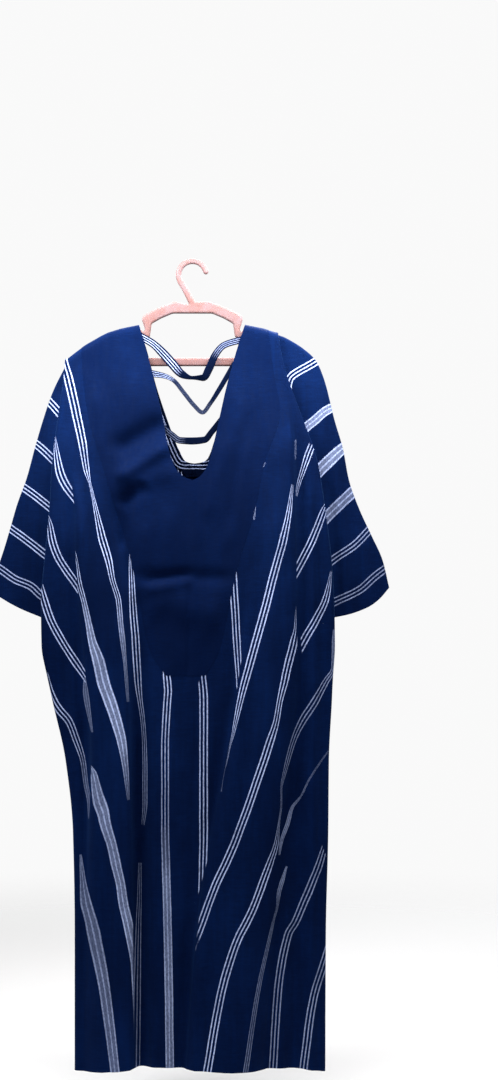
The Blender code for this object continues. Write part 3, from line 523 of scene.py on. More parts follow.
def strap_depth(face, slack):
    """A function that gives a strap's stand-off: against the panel's inside at its ends, slack between."""
    def depth_at(line, shares):
        behind = stand_off(face, line[:, 0], line[:, 1]) - CLOTH_WALL - LAYER_GAP
        between = behind[0] * (1 - shares) + behind[-1] * shares
        return np.minimum(behind, between) - slack * np.sin(math.pi * shares)
    return depth_at


def hook_outline():
    """Both sides of the hook, from its foot on the left round the tip and back to its foot on the right."""
    centre_z = -HOOK_INNER_RADIUS
    radius = HOOK_INNER_RADIUS + HOOK_HALF_WIDTH
    bend, end = (math.radians(degrees) for degrees in HOOK_ARC_DEGREES)
    arc = [(radius * math.cos(a), centre_z + radius * math.sin(a)) for a in np.linspace(bend, end, HOOK_STEPS)]
    line = np.array([HOOK_FOOT, *HOOK_STEM, *arc])
    heading = np.gradient(line, axis=0)
    heading /= np.linalg.norm(heading, axis=1, keepdims=True)
    normal = np.stack([-heading[:, 1], heading[:, 0]], axis=-1)
    half = np.interp(np.arange(len(line)), [0, HOOK_THINS_AT], [STEM_HALF_WIDTH, HOOK_HALF_WIDTH])
    left, right = line + normal * half[:, None], line - normal * half[:, None]
    tip_angle = math.atan2(heading[-1][1], heading[-1][0])
    tip = [line[-1] + HOOK_HALF_WIDTH * np.array([math.cos(a), math.sin(a)])
           for a in np.linspace(tip_angle + math.pi / 2, tip_angle - math.pi / 2, HOOK_TIP_STEPS)[1:-1]]
    return [tuple(p) for p in left] + [tuple(p) for p in tip] + [tuple(p) for p in right[::-1]]


def arm_top(x):
    """Height of the hanger's arm at this distance from its middle: just under the robe's shoulder."""
    wall_of_sleeve = SLEEVE_ON_ARM["height"] * float(smooth((x - SLEEVE_ON_ARM["start"]) / SLEEVE_ON_ARM["run"]))
    wall_of_band = BAND_ON_ARM["height"] * float(smooth((BAND_ON_ARM["end"] - x) / BAND_ON_ARM["run"]))
    return float(shoulder_z(x)) - CLOTH_WALL - ARM_PLAY - wall_of_sleeve - wall_of_band


def frame_outline():
    """The hanger's outer outline, clockwise from the hook's foot on the right to its foot on the left."""
    right = [(29, -63), (58, -74), (82, -86), (84.5, -93), (79, -110), (82, -114), (86, -109)]
    right += [(x, arm_top(x)) for x in (94, 106, 118, 128, 136, 146, 158, 170, 181)]
    right += [(189, arm_top(181) - 8), (191, arm_top(181) - 15), (187, -169), (180, -171)]
    left = [(-x, z) for x, z in reversed(right)]
    return right + left


def window_outline():
    """The opening between the hanger's arms and its bar."""
    right = [(33, -83), (52, -91), (68, -100), (71, -122), (84, -128), (100, -122), (130, -130), (156, -143),
             (168, -151), (164, -157)]
    left = [(-x, z) for x, z in reversed(right)]
    return right + left


# Smaller creases that only the dressed robe has, written like the ridges
FRONT_CREASES = (
    (-40, -306, -120, -358, 8, 12),
    (-52, -268, -126, -312, -6, 16),
    (-78, -372, -118, -402, -6, 11),
    (-100, -372, -116, -470, -5, 9),
    (-70, -430, -92, -560, 3, 14),
    (-80, -529, -4, -514, -3, 6),
    (-72, -545, 2, -527, 3, 8),
    (-4, -540, -6, -690, -2.6, 5),
    (60, -300, 24, -420, 3, 12),
    (92, -260, 58, -440, -3, 10),
    (-160, -190, -128, -400, 4, 13),
    (-196, -230, -176, -430, -3, 9),
    (-222, -440, -206, -760, -3.5, 8),
    (-150, -430, -128, -700, -3, 10),
    (-140, -720, -136, -1330, -4, 9),
    (-176, -800, -182, -1330, -4, 8),
    (-66, -720, -62, -1330, 3.5, 9),
    (12, -730, -12, -1200, -3, 9),
    (44, -880, 22, -1330, -4, 10),
    (108, -560, 80, -980, -4, 10),
    (104, -960, 92, -1330, 4, 12),
    (136, -420, 132, -640, 3, 10),
    (206, -380, 214, -700, -3, 8),
    (190, -960, 186, -1330, -4, 8),
    (150, -980, 146, -1330, 3, 10),
)
BACK_CREASES = (
    (-150, -200, -120, -520, 4, 14),
    (-60, -360, -64, -900, -3.5, 12),
    (-140, -560, -122, -1330, -4, 12),
    (0, -380, 4, -1330, 3, 12),
    (66, -420, 62, -1330, -4, 11),
    (120, -240, 112, -560, 4, 13),
    (160, -420, 156, -1330, -4, 10),
    (-190, -420, -180, -900, -3.5, 9),
)
SLEEVE_CREASES = {
    -1: (
        (-218, -190, -262, -540, 3.5, 14),
        (-236, -260, -306, -540, -3.0, 12),
        (-214, -330, -226, -590, -3.5, 10),
        (-196, -360, -200, -600, 3.0, 10),
    ),
    1: (
        (190, -180, 262, -560, 3.5, 14),
        (208, -200, 298, -540, -3.0, 12),
        (226, -330, 244, -580, -3.5, 10),
        (182, -300, 206, -590, 3.0, 10),
    ),
}

# The woven stripes, each three white lines. A row of a path is (u, v) in steps of PHOTO_MM, and the width there
# in the same steps. By height v, fill is how pale the cloth between the lines is, and light how bright the
# stripe is: painted light and shade, brighter where the stripe is lit and dimmer where it runs into shade. slant
# tells how far its ends run up towards the right, as steps of v for each step across.
FRONT_STRIPES = (
    dict(region="left", path=((62, 356, 7), (64, 364, 8), (68, 378, 9), (76, 412, 9), (83, 444, 8.5),
         (87.5, 471, 6), (91, 484, 2), (95, 500, 3), (104, 540, 8), (110, 560, 7), (114, 580, 5),
         (120, 600, 5), (122, 620, 5), (124.5, 640, 5), (126.5, 660, 3), (128, 680, 3), (129.5, 700, 2)),
         fill=((600, 0), (630, 0.6), (700, 0.5)), light=((560, 1), (640, 0.6), (700, 0.25))),
    dict(region="outer_left", path=((55, 437, 2), (56.5, 450, 5), (60, 470, 8.5), (66, 485, 8.5),
         (80, 503, 8.5)), light=((437, 0.9),)),
    dict(region="outer_left", path=((48, 515, 2), (50.5, 525, 6), (53, 540, 8), (58, 555, 8), (66, 568, 8),
         (76, 582, 8), (88, 598, 8)), light=((515, 0.9),)),
    dict(region="left", path=((75.3, 548, 1.5), (78, 565, 4), (80, 580, 6), (85.5, 600, 5), (90, 620, 6),
         (94, 640, 8), (100.5, 660, 12), (105, 680, 12), (112, 700, 12), (118.5, 720, 11), (123.5, 740, 9),
         (126.5, 760, 6), (128.5, 780, 4), (130, 797, 2)), fill=((590, 0), (620, 0.6), (740, 0.6),
         (797, 0.4)), light=((740, 0.95), (770, 0.55), (797, 0.3))),
    dict(region="outer_left", path=((41, 585, 6), (46, 603, 8), (52, 620, 8), (63, 640, 8), (76, 660, 8),
         (90, 680, 7)), light=((585, 0.95),)),
    dict(region="free", path=((86, 676, 2), (87, 690, 6), (88.5, 700, 6), (90, 709, 5), (94, 730, 2)),
         fill=((676, 0.6),), light=((676, 0.4),)),
    dict(region="outer_left", path=((47, 672, 3), (50, 688, 7), (54.5, 700, 8), (62, 711, 8), (70, 720, 8),
         (78, 740, 7), (84, 760, 5), (87, 783, 5), (91, 803, 5), (91, 817, 3)), fill=((755, 0),
         (785, 0.6)), light=((745, 0.9), (775, 0.4), (817, 0.3))),
    dict(region="left", path=((91.4, 763, 2), (95, 770, 7), (99, 790, 11), (101.5, 800, 13),
         (105, 810, 12), (107, 820, 11), (113, 840, 10), (117.5, 860, 10), (122, 880, 9), (125, 900, 9.5),
         (129.5, 920, 9), (136, 960, 8), (141, 1075, 8)), fill=((763, 0.65),), light=((763, 0.8),)),
    dict(region="free", path=((81.4, 853, 2), (84, 880, 6), (87, 900, 12), (92.5, 920, 13), (95, 930, 14),
         (106, 985, 11), (118, 1075, 9)), fill=((853, 0.6),), light=((853, 0.55),)),
    dict(region="centre", path=((131, 552, 1.5), (132, 570, 5), (133, 590, 6), (134, 610, 7),
         (136.4, 640, 7.5), (137.5, 660, 7.5), (138.7, 680, 7), (140.7, 700, 5), (143.5, 720, 4.5),
         (145, 740, 4.5), (145.7, 770, 5), (145.7, 800, 5), (143.6, 823, 3)), light=((680, 0.9),
         (720, 0.55), (800, 0.45), (823, 0.3))),
    dict(region="centre", path=((140.7, 861, 3), (139.8, 900, 4.5), (139, 931, 5.5), (138, 985, 7),
         (137, 1075, 7)), light=((861, 0.35),)),
    dict(region="centre", path=((164, 646, 2), (165, 664, 3.5), (167, 672, 7), (168, 680, 7.6),
         (168.8, 690, 7.6), (168, 700, 7.6), (166.8, 720, 7.6), (166, 740, 7.6), (166, 815, 7.6),
         (166.5, 850, 8), (168, 900, 8), (168.5, 920, 8), (170, 1000, 8), (171, 1075, 8)), fill=((820, 0),
         (835, 0.3), (855, 0.35), (880, 0.65)), light=((660, 1), (740, 0.7), (800, 0.45), (850, 0.45),
         (880, 0.7))),
    dict(region="centre", path=((202, 673, 8.2), (204, 700, 8.4), (204, 760, 8.4), (204, 830, 8.4),
         (203, 875, 7.5)), light=((673, 0.75),), slant=(-2.2, -4.2)),
    dict(region="centre", path=((233, 575, 8), (234.6, 600, 8), (235.8, 620, 7.5), (236.9, 640, 7.5),
         (239, 675, 6)), light=((575, 0.8),), slant=(-2.1, -4.6)),
    dict(region="free", path=((265, 463, 1.5), (259, 475, 2.5), (255, 500, 2.5), (254, 520, 1.5)),
         light=((463, 0.8),)),
    dict(region="right", path=((292, 485, 2), (289, 510, 5), (283, 540, 8), (277.5, 560, 8), (272, 580, 8),
         (267, 600, 8), (261.5, 620, 8), (256, 640, 8), (250.5, 660, 8), (245, 680, 7.5), (240, 700, 6),
         (235.7, 720, 4), (233, 733, 2.5), (230.5, 742, 1.6), (226.5, 760, 1.6), (224, 769, 1.6),
         (221, 790, 1.2)), light=((720, 1), (790, 0.6))),
    dict(region="right", path=((296, 606, 1.5), (295.5, 628, 4), (293.5, 640, 8), (288.5, 660, 8),
         (284, 680, 7.5), (279.3, 700, 5.5), (275.8, 720, 6), (269.5, 740, 8), (263, 760, 8),
         (256, 780, 8), (249.3, 800, 8), (242, 820, 8), (234.5, 840, 8), (225.7, 860, 8), (216.4, 880, 8),
         (208.6, 900, 8), (201.5, 920, 8), (197, 932, 8), (185, 965, 8), (174, 1000, 8)),
         light=((606, 0.5), (640, 1))),
    dict(region="free", path=((333.6, 629, 2), (333.6, 640, 4), (333, 668, 4), (326, 680, 6),
         (314.5, 700, 8), (303, 718, 7.5), (293, 740, 5.5), (287, 760, 4.5), (283, 775, 3),
         (281, 785, 1.6), (281, 801, 1.4), (278.6, 820, 1.6), (276, 840, 4.6), (269.3, 860, 7),
         (262, 880, 8), (254.5, 900, 8), (245, 920, 8), (239, 931, 8), (222, 985, 8), (206, 1075, 8)),
         fill=((660, 0.6), (680, 0)), light=((631, 0.5), (690, 0.6), (785, 0.45), (840, 0.8),
         (880, 0.95))),
    dict(region="outer_right", path=((328, 750, 1.3), (309, 777, 1.5), (300, 796, 1.6), (292, 806, 3),
         (287, 823, 4), (281, 839, 3.5), (279, 852, 1.5)), fill=((796, 0), (806, 0.6)),
         light=((750, 0.55),)),
    dict(region="free", path=((286.4, 864, 1.5), (282, 878, 4), (278.6, 890, 4), (277, 904, 2),
         (274, 914, 2), (270, 931, 3), (258, 985, 4), (244, 1075, 5)), fill=((890, 0.6), (904, 0.2)),
         light=((864, 0.6), (904, 0.35))),
    dict(region="free", path=((323.5, 848, 6), (318, 865, 8), (312, 880, 8), (303.6, 900, 8),
         (295, 920, 8), (288, 931, 8), (278, 985, 8), (272, 1075, 8)), light=((848, 0.55),),
         slant=(1.2, 0)),
    dict(region="free", path=((334, 930, 8), (324, 960, 8), (312, 1000, 8), (302, 1075, 8)),
         light=((930, 0.6),)),
    dict(region="outer_right", path=((295.5, 440, 1.3), (295.3, 450, 1.6), (295, 460, 1.3)),
         light=((440, 0.4),)),
    dict(region="outer_right", path=((312, 445, 7), (307, 458, 7), (302, 473, 5), (298, 486, 3.5),
         (296, 497, 1.6)), light=((445, 0.75),)),
    dict(region="outer_right", path=((326, 504, 3), (323, 512, 7), (312, 540, 8), (304, 556, 8),
         (296.5, 570, 8), (288, 584, 8)), light=((504, 0.8),)),
    dict(region="outer_right", path=((330.7, 571, 1.5), (328, 588, 5), (325, 600, 7), (315, 620, 8),
         (308, 632, 8), (301, 645, 8)), light=((571, 0.85),), slant=(0, 1.5)),
)
# The sleeves' stripes, written like the front's: their light is painted shade, dimmer lower down each sleeve.
LEFT_SLEEVE_STRIPES = (
    dict(path=((20, 372, 8), (48, 401, 8), (58, 412, 8), (80, 440, 8)), light=((372, 0.9),)),
    dict(path=((8, 428, 8), (34, 443, 8), (53, 460, 8), (80, 492, 8)), light=((428, 0.9),)),
    dict(path=((-6, 470, 8), (22, 487, 8), (50, 508, 8), (90, 545, 8)), light=((470, 0.85),)),
    dict(path=((-14, 513, 8), (10, 529, 8), (45, 555, 8), (80, 588, 8)), light=((513, 0.8),)),
    dict(path=((-22, 556, 8), (0, 570, 8), (15, 580, 8), (30, 586, 8), (40, 595, 8), (80, 622, 8)),
         light=((556, 0.7),)),
)
RIGHT_SLEEVE_STRIPES = (
    dict(path=((330, 350, 8), (314, 362, 8), (300, 370, 8), (290, 378, 7.5), (288, 388, 7), (291, 400, 7)),
         light=((350, 0.9),)),
    dict(path=((352, 402, 8), (335, 406, 8.5), (325, 411, 9), (315, 420, 9), (306.5, 427, 9),
         (296, 442, 8)), fill=((402, 0.6),), light=((402, 0.85),)),
    dict(path=((356, 440, 10), (342, 449, 11), (332, 458, 12), (320, 470, 12), (306, 488, 10)),
         fill=((440, 0.6),), light=((440, 0.8),)),
    dict(path=((366, 480, 10), (352, 493, 11), (340, 504, 11), (327, 517, 11), (310, 536, 10)),
         fill=((480, 0.55),), light=((480, 0.6),)),
    dict(path=((386, 514, 8), (370, 530, 8), (355, 545, 8), (333, 560, 8), (316, 576, 8)),
         light=((514, 0.6),)),
    dict(path=((396, 562, 8), (375, 577, 8), (360, 590, 8), (335, 602, 8), (316, 612, 8)),
         light=((562, 0.55),)),
)
# The back's stripes: where each is at the shoulder, at the back's middle height and at the hem
BACK_STRIPES = (
    (-205, -236, -172), (-184, -190, -118), (-152, -160, -122), (-104, -92, -82), (-84, -50, -30), (-26,
     -16, -14),
    (38, 26, 14), (72, 60, 66), (118, 104, 84), (140, 158, 138), (178, 190, 150), (192, 230, 198),
)
# The parts of the front that a stripe belongs to: the folds left and right of it that lap over it
FRONT_REGIONS = dict(
    free=(None, None),
    outer_left=(None, "left_ledge"),
    left=("left_ledge", "left_valley"),
    centre=("left_valley", "right_ledge"),
    right=("right_ledge", "right_groove"),
    outer_right=("right_groove", None),
)
LAPPED_HEIGHTS = dict(left_ledge=(-350, -920), left_valley=(-470, -1400), right_ledge=(-500, -1400),
                      right_groove=(-200, -800))
RETURN_STRIPE = 34.0
RETURN_LIGHT = 0.8
STRIPE_WIDTH = 8.0
LINE_PITCH = 3.6 * PHOTO_MM
LINE_HALF = 0.58 * PHOTO_MM
LINE_BLUR = 0.35
NARROWEST = 1.3
STRIPE_REACH = 14.0
STRIPE_EDGE = 10.0
FILL_LIGHT = 0.62
CHANNELS = ("stripe_a", "stripe_b", "stripe_c", "stripe_d")
STRIPE_ROOM = 34.0
STRIPE_END_BLUR = (-0.5, 0.9)
LINE_WANDER = 1.3
RETURN_FIRST, RETURN_NEXT = 0.7, 1.7
BACK_STRIPE_HEIGHTS = (-90, -360, -620, -900, -1345)
BAND_STRIPE = dict(top=-104, bottom=-331, out=11.0, down=4.0, steps=40)

# How uneven the finishes are: waves per metre along x, y and z
PATCH_WAVES = (9, 9, 4)
STREAK_WAVES = (170, 170, 9)
SLUB_WAVES = (60, 60, 620)
GRAIN_WAVES = (900, 900, 900)
DRIFT_WAVES = (26, 26, 26)
WEAR_WAVES = (420, 420, 240)
FADING_WAVES = (22, 22, 12)
CLOUD_WAVES = (38, 38, 38)
RUB_WAVES = (180, 180, 180)
RIPPLE_WAVES = (70, 70, 70)

RIM_ANGLE = math.radians(55)
YOKE_BOTTOM_Z = -685.0
YOKE_LIFT = 0.12
FINE_YOKE_WALL = 0.22
BAND_BOTTOM_Z = -352.0

# How finely the dressed pieces are divided
FINE_TURN = 9
FINE_RETURN = (0.0, 0.7, 2.0, 4.0, 7.0, 11.0, 16.0, 24.0, 32.0, 44.0, 58.0)
FINE_DROPS = (0.0, 0.06, 0.35, 0.9, 1.8, 3.0, 4.5, 6.5, 8.6, 11.0)
FINE_STEP = 5.4
FINE_LEFT = (10, 12, 11, 24)
FINE_RIGHT = (13, 10, 11, 22)
FINE_BACK = (20, 24, 20)
FINE_NECK_ROWS = 44
FINE_BELOW_FRONT_NECK = 10
FINE_BELOW_BACK_NECK = 16
SLEEVE_ROWS = 64
SLEEVE_AROUND = 46
SLEEVE_TIP = (0, 0.03, 0.12, 0.28, 0.5, 0.75, 1.0)
STRAP_STEPS = 90
STRAP_ACROSS = 9
HOOK_STEPS = 34
HOOK_TIP_STEPS = 7
HANGER_EDGE_STEPS = 7
CORNER_RADIUS = 2.5
CORNER_LIMIT = 0.45
CORNER_STRAIGHT = -0.95
CORNER_STEPS = (0, 0.25, 0.5, 0.75, 1)
SHOULDER_SOLVING_STEPS = 6
WELD = 0.00002


def crumple(x, z, seed):
    """Low unevenness of hung cloth, a few tenths of a millimetre to one millimetre."""
    rng = np.random.default_rng(seed)
    total = np.zeros(np.broadcast(x, z).shape)
    for _ in range(CRUMPLE_WAVES):
        angle = rng.uniform(0, math.pi)
        wave = rng.uniform(*CRUMPLE_LENGTHS)
        phase = rng.uniform(0, 2 * math.pi, 2)
        across = x * math.sin(angle) - z * math.cos(angle)
        bend = CRUMPLE_BEND * np.sin(2 * math.pi * across / (wave * CRUMPLE_BEND_LENGTH) + phase[0])
        along_wave = x * math.cos(angle) + z * math.sin(angle) * CRUMPLE_STRETCH + bend
        total = total + np.sin(2 * math.pi * along_wave / wave + phase[1])
    return total * CRUMPLE_HEIGHT


def fine_face(facing):
    """The front (-1) or back (+1) panel's description, with the small creases and the fine rows."""
    front = facing < 0
    creases = FRONT_CREASES if front else BACK_CREASES
    return dict(
        facing=facing,
        sections=FRONT_SECTIONS if front else BACK_SECTIONS,
        neck=FRONT_NECK if front else BACK_NECK,
        ledges=FRONT_LEDGES if front else BACK_LEDGES,
        ridges=(FRONT_RIDGES if front else BACK_RIDGES) + creases,
        seed=FRONT_SEED if front else BACK_SEED,
        left_lines=("start", "left_ledge", "left_valley", "yoke_left", "middle") if front
        else ("start", "left_ledge", "yoke_left", "middle"),
        right_lines=("start", "right_groove", "right_ledge", "yoke_right", "middle") if front
        else ("start", "right_ledge", "yoke_right", "middle"),
        drops=np.array(FINE_DROPS),
        neck_rows=FINE_NECK_ROWS,
        below_rows=FINE_BELOW_FRONT_NECK if front else FINE_BELOW_BACK_NECK,
        levels=np.arange(ARMHOLE_END_Z, HEM_Z - 0.1, -FINE_STEP).tolist() + [HEM_Z],
    )


def panel_points(face, left, right, first_left, first_right, last_row, lift=0.0):
    """Points, faces and each point's (half, column, row) for a panel, or its part from the first columns in."""
    facing = face["facing"]
    neck_row = len(face["drops"]) - 1 + face["neck_rows"]
    points, tags, index = [], [], {}
    for half, (grid, first) in enumerate(((left, first_left), (right, first_right))):
        x, y, z = grid
        normals = lifted_normals(x, facing * y, z, half)
        for c in range(first, x.shape[0]):
            for r in range(last_row + 1):
                if half == 1 and c == x.shape[0] - 1 and r >= neck_row:
                    index[half, c, r] = index[0, left[0].shape[0] - 1, r]
                    continue
                index[half, c, r] = len(points)
                points.append(np.array([x[c, r], facing * y[c, r], z[c, r]]) + lift * normals[c, r])
                tags.append((half, c, r))
    faces = []
    for half, (grid, first) in enumerate(((left, first_left), (right, first_right))):
        for c in range(first, grid[0].shape[0] - 1):
            for r in range(last_row):
                corners = ((c, r), (c, r + 1), (c + 1, r + 1), (c + 1, r))
                quad = [index[half, column, row] for column, row in corners]
                faces.append(quad if (half == 0) == (facing < 0) else quad[::-1])
    return np.array(points), faces, np.array(tags)


def resampled(line, step=6.0):
    """A smooth line through the given points, in millimetres, about step apart."""
    points = np.asarray(line, float)
    length = np.linalg.norm(np.diff(points, axis=0), axis=1).sum()
    return bezier_through(points, np.linspace(0, 1, max(3, int(length / step))))


def in_robe(u, v):
    """Points given in the photograph's steps, in the robe's frame."""
    x = (np.asarray(u) - PHOTO_ORIGIN[0]) * PHOTO_MM
    z = (PHOTO_ORIGIN[1] - np.asarray(v)) * PHOTO_MM
    return np.stack([x, z], axis=-1)


def by_height(rows, z):
    """The value at these heights of a short list of (v, value)."""
    v, values = np.asarray(rows, float).T
    return np.interp(PHOTO_ORIGIN[1] - z / PHOTO_MM, v, values)


def traced(stripe):
    """A stripe of the tables as a smooth line, with its width, fill and painted light at each of its points."""
    u, v, width = np.asarray(stripe["path"], float).T
    given = in_robe(u, v)
    line = resampled(given)
    reached = np.concatenate([[0], np.cumsum(np.linalg.norm(np.diff(given, axis=0), axis=1))])
    shares = np.linspace(0, reached[-1], len(line))
    return dict(line=line, width=np.interp(shares, reached, width), region=stripe.get("region", "free"),
                fill=by_height(stripe.get("fill", ((0, 0),)), line[:, 1]),
                light=by_height(stripe.get("light", ((0, 1),)), line[:, 1]),
                slant=stripe.get("slant", (0, 0)))


def plain_stripe(line):
    """A stripe of even width and brightness along a line in millimetres."""
    even = np.ones(len(line))
    return dict(line=line, width=even * STRIPE_WIDTH, region="free", fill=even * 0, light=even, slant=(0, 0))


def place_on_stripe(spots, stripe):
    """Where each spot lies on a stripe: its signed and its plain distance from the line, the stripe's width, fill
    and painted light there, and how far inside the stripe's two ends it is."""
    line = stripe["line"]
    start, step = line[:-1], np.diff(line, axis=0)
    lengths = np.hypot(step[:, 0], step[:, 1])
    reached = np.concatenate([[0], np.cumsum(lengths)])
    best = np.full(len(spots), 1e9)
    signed, position, along_line = np.zeros(len(spots)), np.zeros(len(spots)), np.zeros(len(spots))
    for i in range(len(start)):
        away = spots - start[i]
        t = (away @ step[i]) / lengths[i] ** 2
        held = np.clip(t, 0, 1)
        gap = away - held[:, None] * step[i]
        distance = np.hypot(gap[:, 0], gap[:, 1])
        right = (away[:, 0] * -step[i, 1] + away[:, 1] * step[i, 0]) / lengths[i]
        ends = ((i == 0) & (t < 0)) | ((i == len(start) - 1) & (t > 1))
        across = np.where(ends, right, np.sign(right) * distance)
        nearer = distance < best
        best = np.where(nearer, distance, best)
        signed = np.where(nearer, across, signed)
        position = np.where(nearer, i + held, position)
        along_line = np.where(nearer, reached[i] + t * lengths[i], along_line)
    rows = np.arange(len(line))
    width, fill, light = (np.interp(position, rows, stripe[name]) for name in ("width", "fill", "light"))
    from_start = along_line - stripe["slant"][0] * signed
    from_end = reached[-1] + stripe["slant"][1] * signed - along_line
    slope = math.hypot(1, max(map(abs, stripe["slant"])))
    inside = np.minimum(np.minimum(from_start, from_end) / slope, STRIPE_REACH - np.abs(signed))
    return signed, best, width, fill, light, inside


def channel_of_lines(lines):
    """A channel for each line, so that two lines near each other never share one."""
    chosen = []
    for i, line in enumerate(lines):
        taken = set()
        for j in range(i):
            gaps = np.linalg.norm(line[:, None, :] - lines[j][None, :, :], axis=-1)
            if gaps.min() < STRIPE_ROOM:
                taken.add(chosen[j])
        free = [k for k in range(len(CHANNELS)) if k not in taken]
        chosen.append(free[0] if free else i % len(CHANNELS))
    return chosen


def inside_region(spots, region):
    """How far inside the region's folds a spot lies, and below 0 outside them."""
    inside = np.full(len(spots), STRIPE_EDGE)
    for name, side in zip(FRONT_REGIONS[region], (1, -1)):
        if name is None:
            continue
        top, bottom = LAPPED_HEIGHTS[name]
        lapped = (spots[:, 1] < top) & (spots[:, 1] > bottom)
        across = (spots[:, 0] - along(FRONT_SECTIONS, name, spots[:, 1])) * side
        inside = np.where(lapped, np.minimum(inside, across), inside)
    return inside


def stripe_values(spots, stripes):
    """For each channel, each spot's place across its stripe, how far inside it lies, fill and painted light."""
    values = np.zeros((len(CHANNELS), len(spots), 4))
    values[:, :, 1] = -STRIPE_EDGE
    nearest = np.full((len(CHANNELS), len(spots)), 1e9)
    for stripe, k in zip(stripes, channel_of_lines([stripe["line"] for stripe in stripes])):
        signed, distance, width, fill, light, inside = place_on_stripe(spots, stripe)
        squeeze = (2 * LINE_PITCH + 2 * LINE_HALF) / (np.maximum(width, NARROWEST) * PHOTO_MM)
        inside = np.minimum(inside, inside_region(spots, stripe["region"]))
        hit = distance < nearest[k]
        nearest[k, hit] = distance[hit]
        held = np.clip(inside, -STRIPE_EDGE, STRIPE_EDGE)
        values[k, hit] = np.stack([signed * squeeze, held, fill, light], axis=-1)[hit]
    return values


def write_stripes(mesh, values):
    """Stores the stripe values on the mesh's points, one attribute of four numbers to a channel."""
    for name, rows in zip(CHANNELS, values):
        layer = mesh.attributes.new(name, "FLOAT_COLOR", "POINT")
        layer.data.foreach_set("color", rows.astype(np.float32).ravel())


class Tree:
    """The nodes of a material or a world. Most methods add one node and return its output."""

    def __init__(self, holder):
        holder.use_nodes = True
        self.nodes, self.links = holder.node_tree.nodes, holder.node_tree.links

    def put(self, socket, value):
        """Links an output to a socket, or sets the socket to a number, a vector or a colour."""
        if isinstance(value, bpy.types.NodeSocket):
            self.links.new(value, socket)
        elif socket.type == "RGBA":
            socket.default_value = (*value, 1.0)
        else:
            socket.default_value = value

    def add(self, kind, settings):
        """A new node with these sockets set."""
        node = self.nodes.new("ShaderNode" + kind)
        for name, value in settings.items():
            self.put(node.inputs[name], value)
        return node

    def place(self):
        """The object's own coordinates."""
        return self.nodes.new("ShaderNodeTexCoord").outputs["Object"]

    def noise(self, source, waves, detail, rough=0.5):
        """Noise with this many waves per metre along x, y and z."""
        stretched = self.add("Mapping", {"Scale": waves, "Vector": source}).outputs["Vector"]
        settings = {"Scale": 1.0, "Detail": detail, "Roughness": rough, "Vector": stretched}
        return self.add("TexNoise", settings).outputs["Fac"]

    def math(self, operation, *values):
        """A Math node on outputs or numbers."""
        node = self.add("Math", dict(enumerate(values)))
        node.operation = operation
        return node.outputs[0]

    def total(self, *parts):
        """The sum of outputs, each times its weight."""
        whole = self.math("MULTIPLY", *parts[0])
        for part in parts[1:]:
            whole = self.math("ADD", whole, self.math("MULTIPLY", *part))
        return whole

    def ramp(self, value, low, high, out_low=0.0, out_high=1.0):
        """A smooth rise or fall from out_low at low to out_high at high."""
        settings = {"Value": value, "From Min": low, "From Max": high, "To Min": out_low, "To Max": out_high}
        node = self.add("MapRange", settings)
        node.interpolation_type = "SMOOTHSTEP"
        return node.outputs["Result"]

    def mix(self, factor, first, second):
        """Two colours, mixed by a factor."""
        node = self.nodes.new("ShaderNodeMix")
        node.data_type = "RGBA"
        for socket, value in ((node.inputs["Factor"], factor), (node.inputs[6], first), (node.inputs[7], second)):
            self.put(socket, value)
        return node.outputs[2]

    def bump(self, height, strength, distance):
        """The normals of a surface with this relief."""
        settings = {"Strength": strength, "Distance": distance, "Height": height}
        return self.add("Bump", settings).outputs["Normal"]

    def shade(self, settings):
        """Sets the Principled shader's sockets."""
        for name, value in settings.items():
            self.put(self.nodes["Principled BSDF"].inputs[name], value)


def triple_line(tree, name, wander):
    """How much white yarn a channel's stripe shows here, from 0 to 1, dimmed by the stripe's painted light and
    shade.
    """
    attribute = tree.nodes.new("ShaderNodeAttribute")
    attribute.attribute_name = name
    across, inside, fill = tree.add("SeparateColor", {0: attribute.outputs["Color"]}).outputs[:3]
    away = tree.math("ABSOLUTE", tree.math("ADD", across, wander))
    outer = tree.math("ABSOLUTE", tree.math("SUBTRACT", away, LINE_PITCH))
    nearest = tree.math("MINIMUM", away, outer)
    lines = tree.ramp(nearest, LINE_HALF - LINE_BLUR, LINE_HALF + LINE_BLUR, 1.0, 0.0)
    reach = LINE_PITCH + LINE_HALF
    band = tree.ramp(away, reach - LINE_BLUR, reach + LINE_BLUR, FILL_LIGHT, 0.0)
    yarn = tree.math("MAXIMUM", lines, tree.math("MULTIPLY", band, fill))
    yarn = tree.math("MULTIPLY", yarn, tree.ramp(inside, *STRIPE_END_BLUR))
    # The channel's alpha is the stripe's light: painted light and shade that dims the yarn where the stripe lies
    # in shade.
    return tree.math("MULTIPLY", yarn, attribute.outputs["Alpha"])


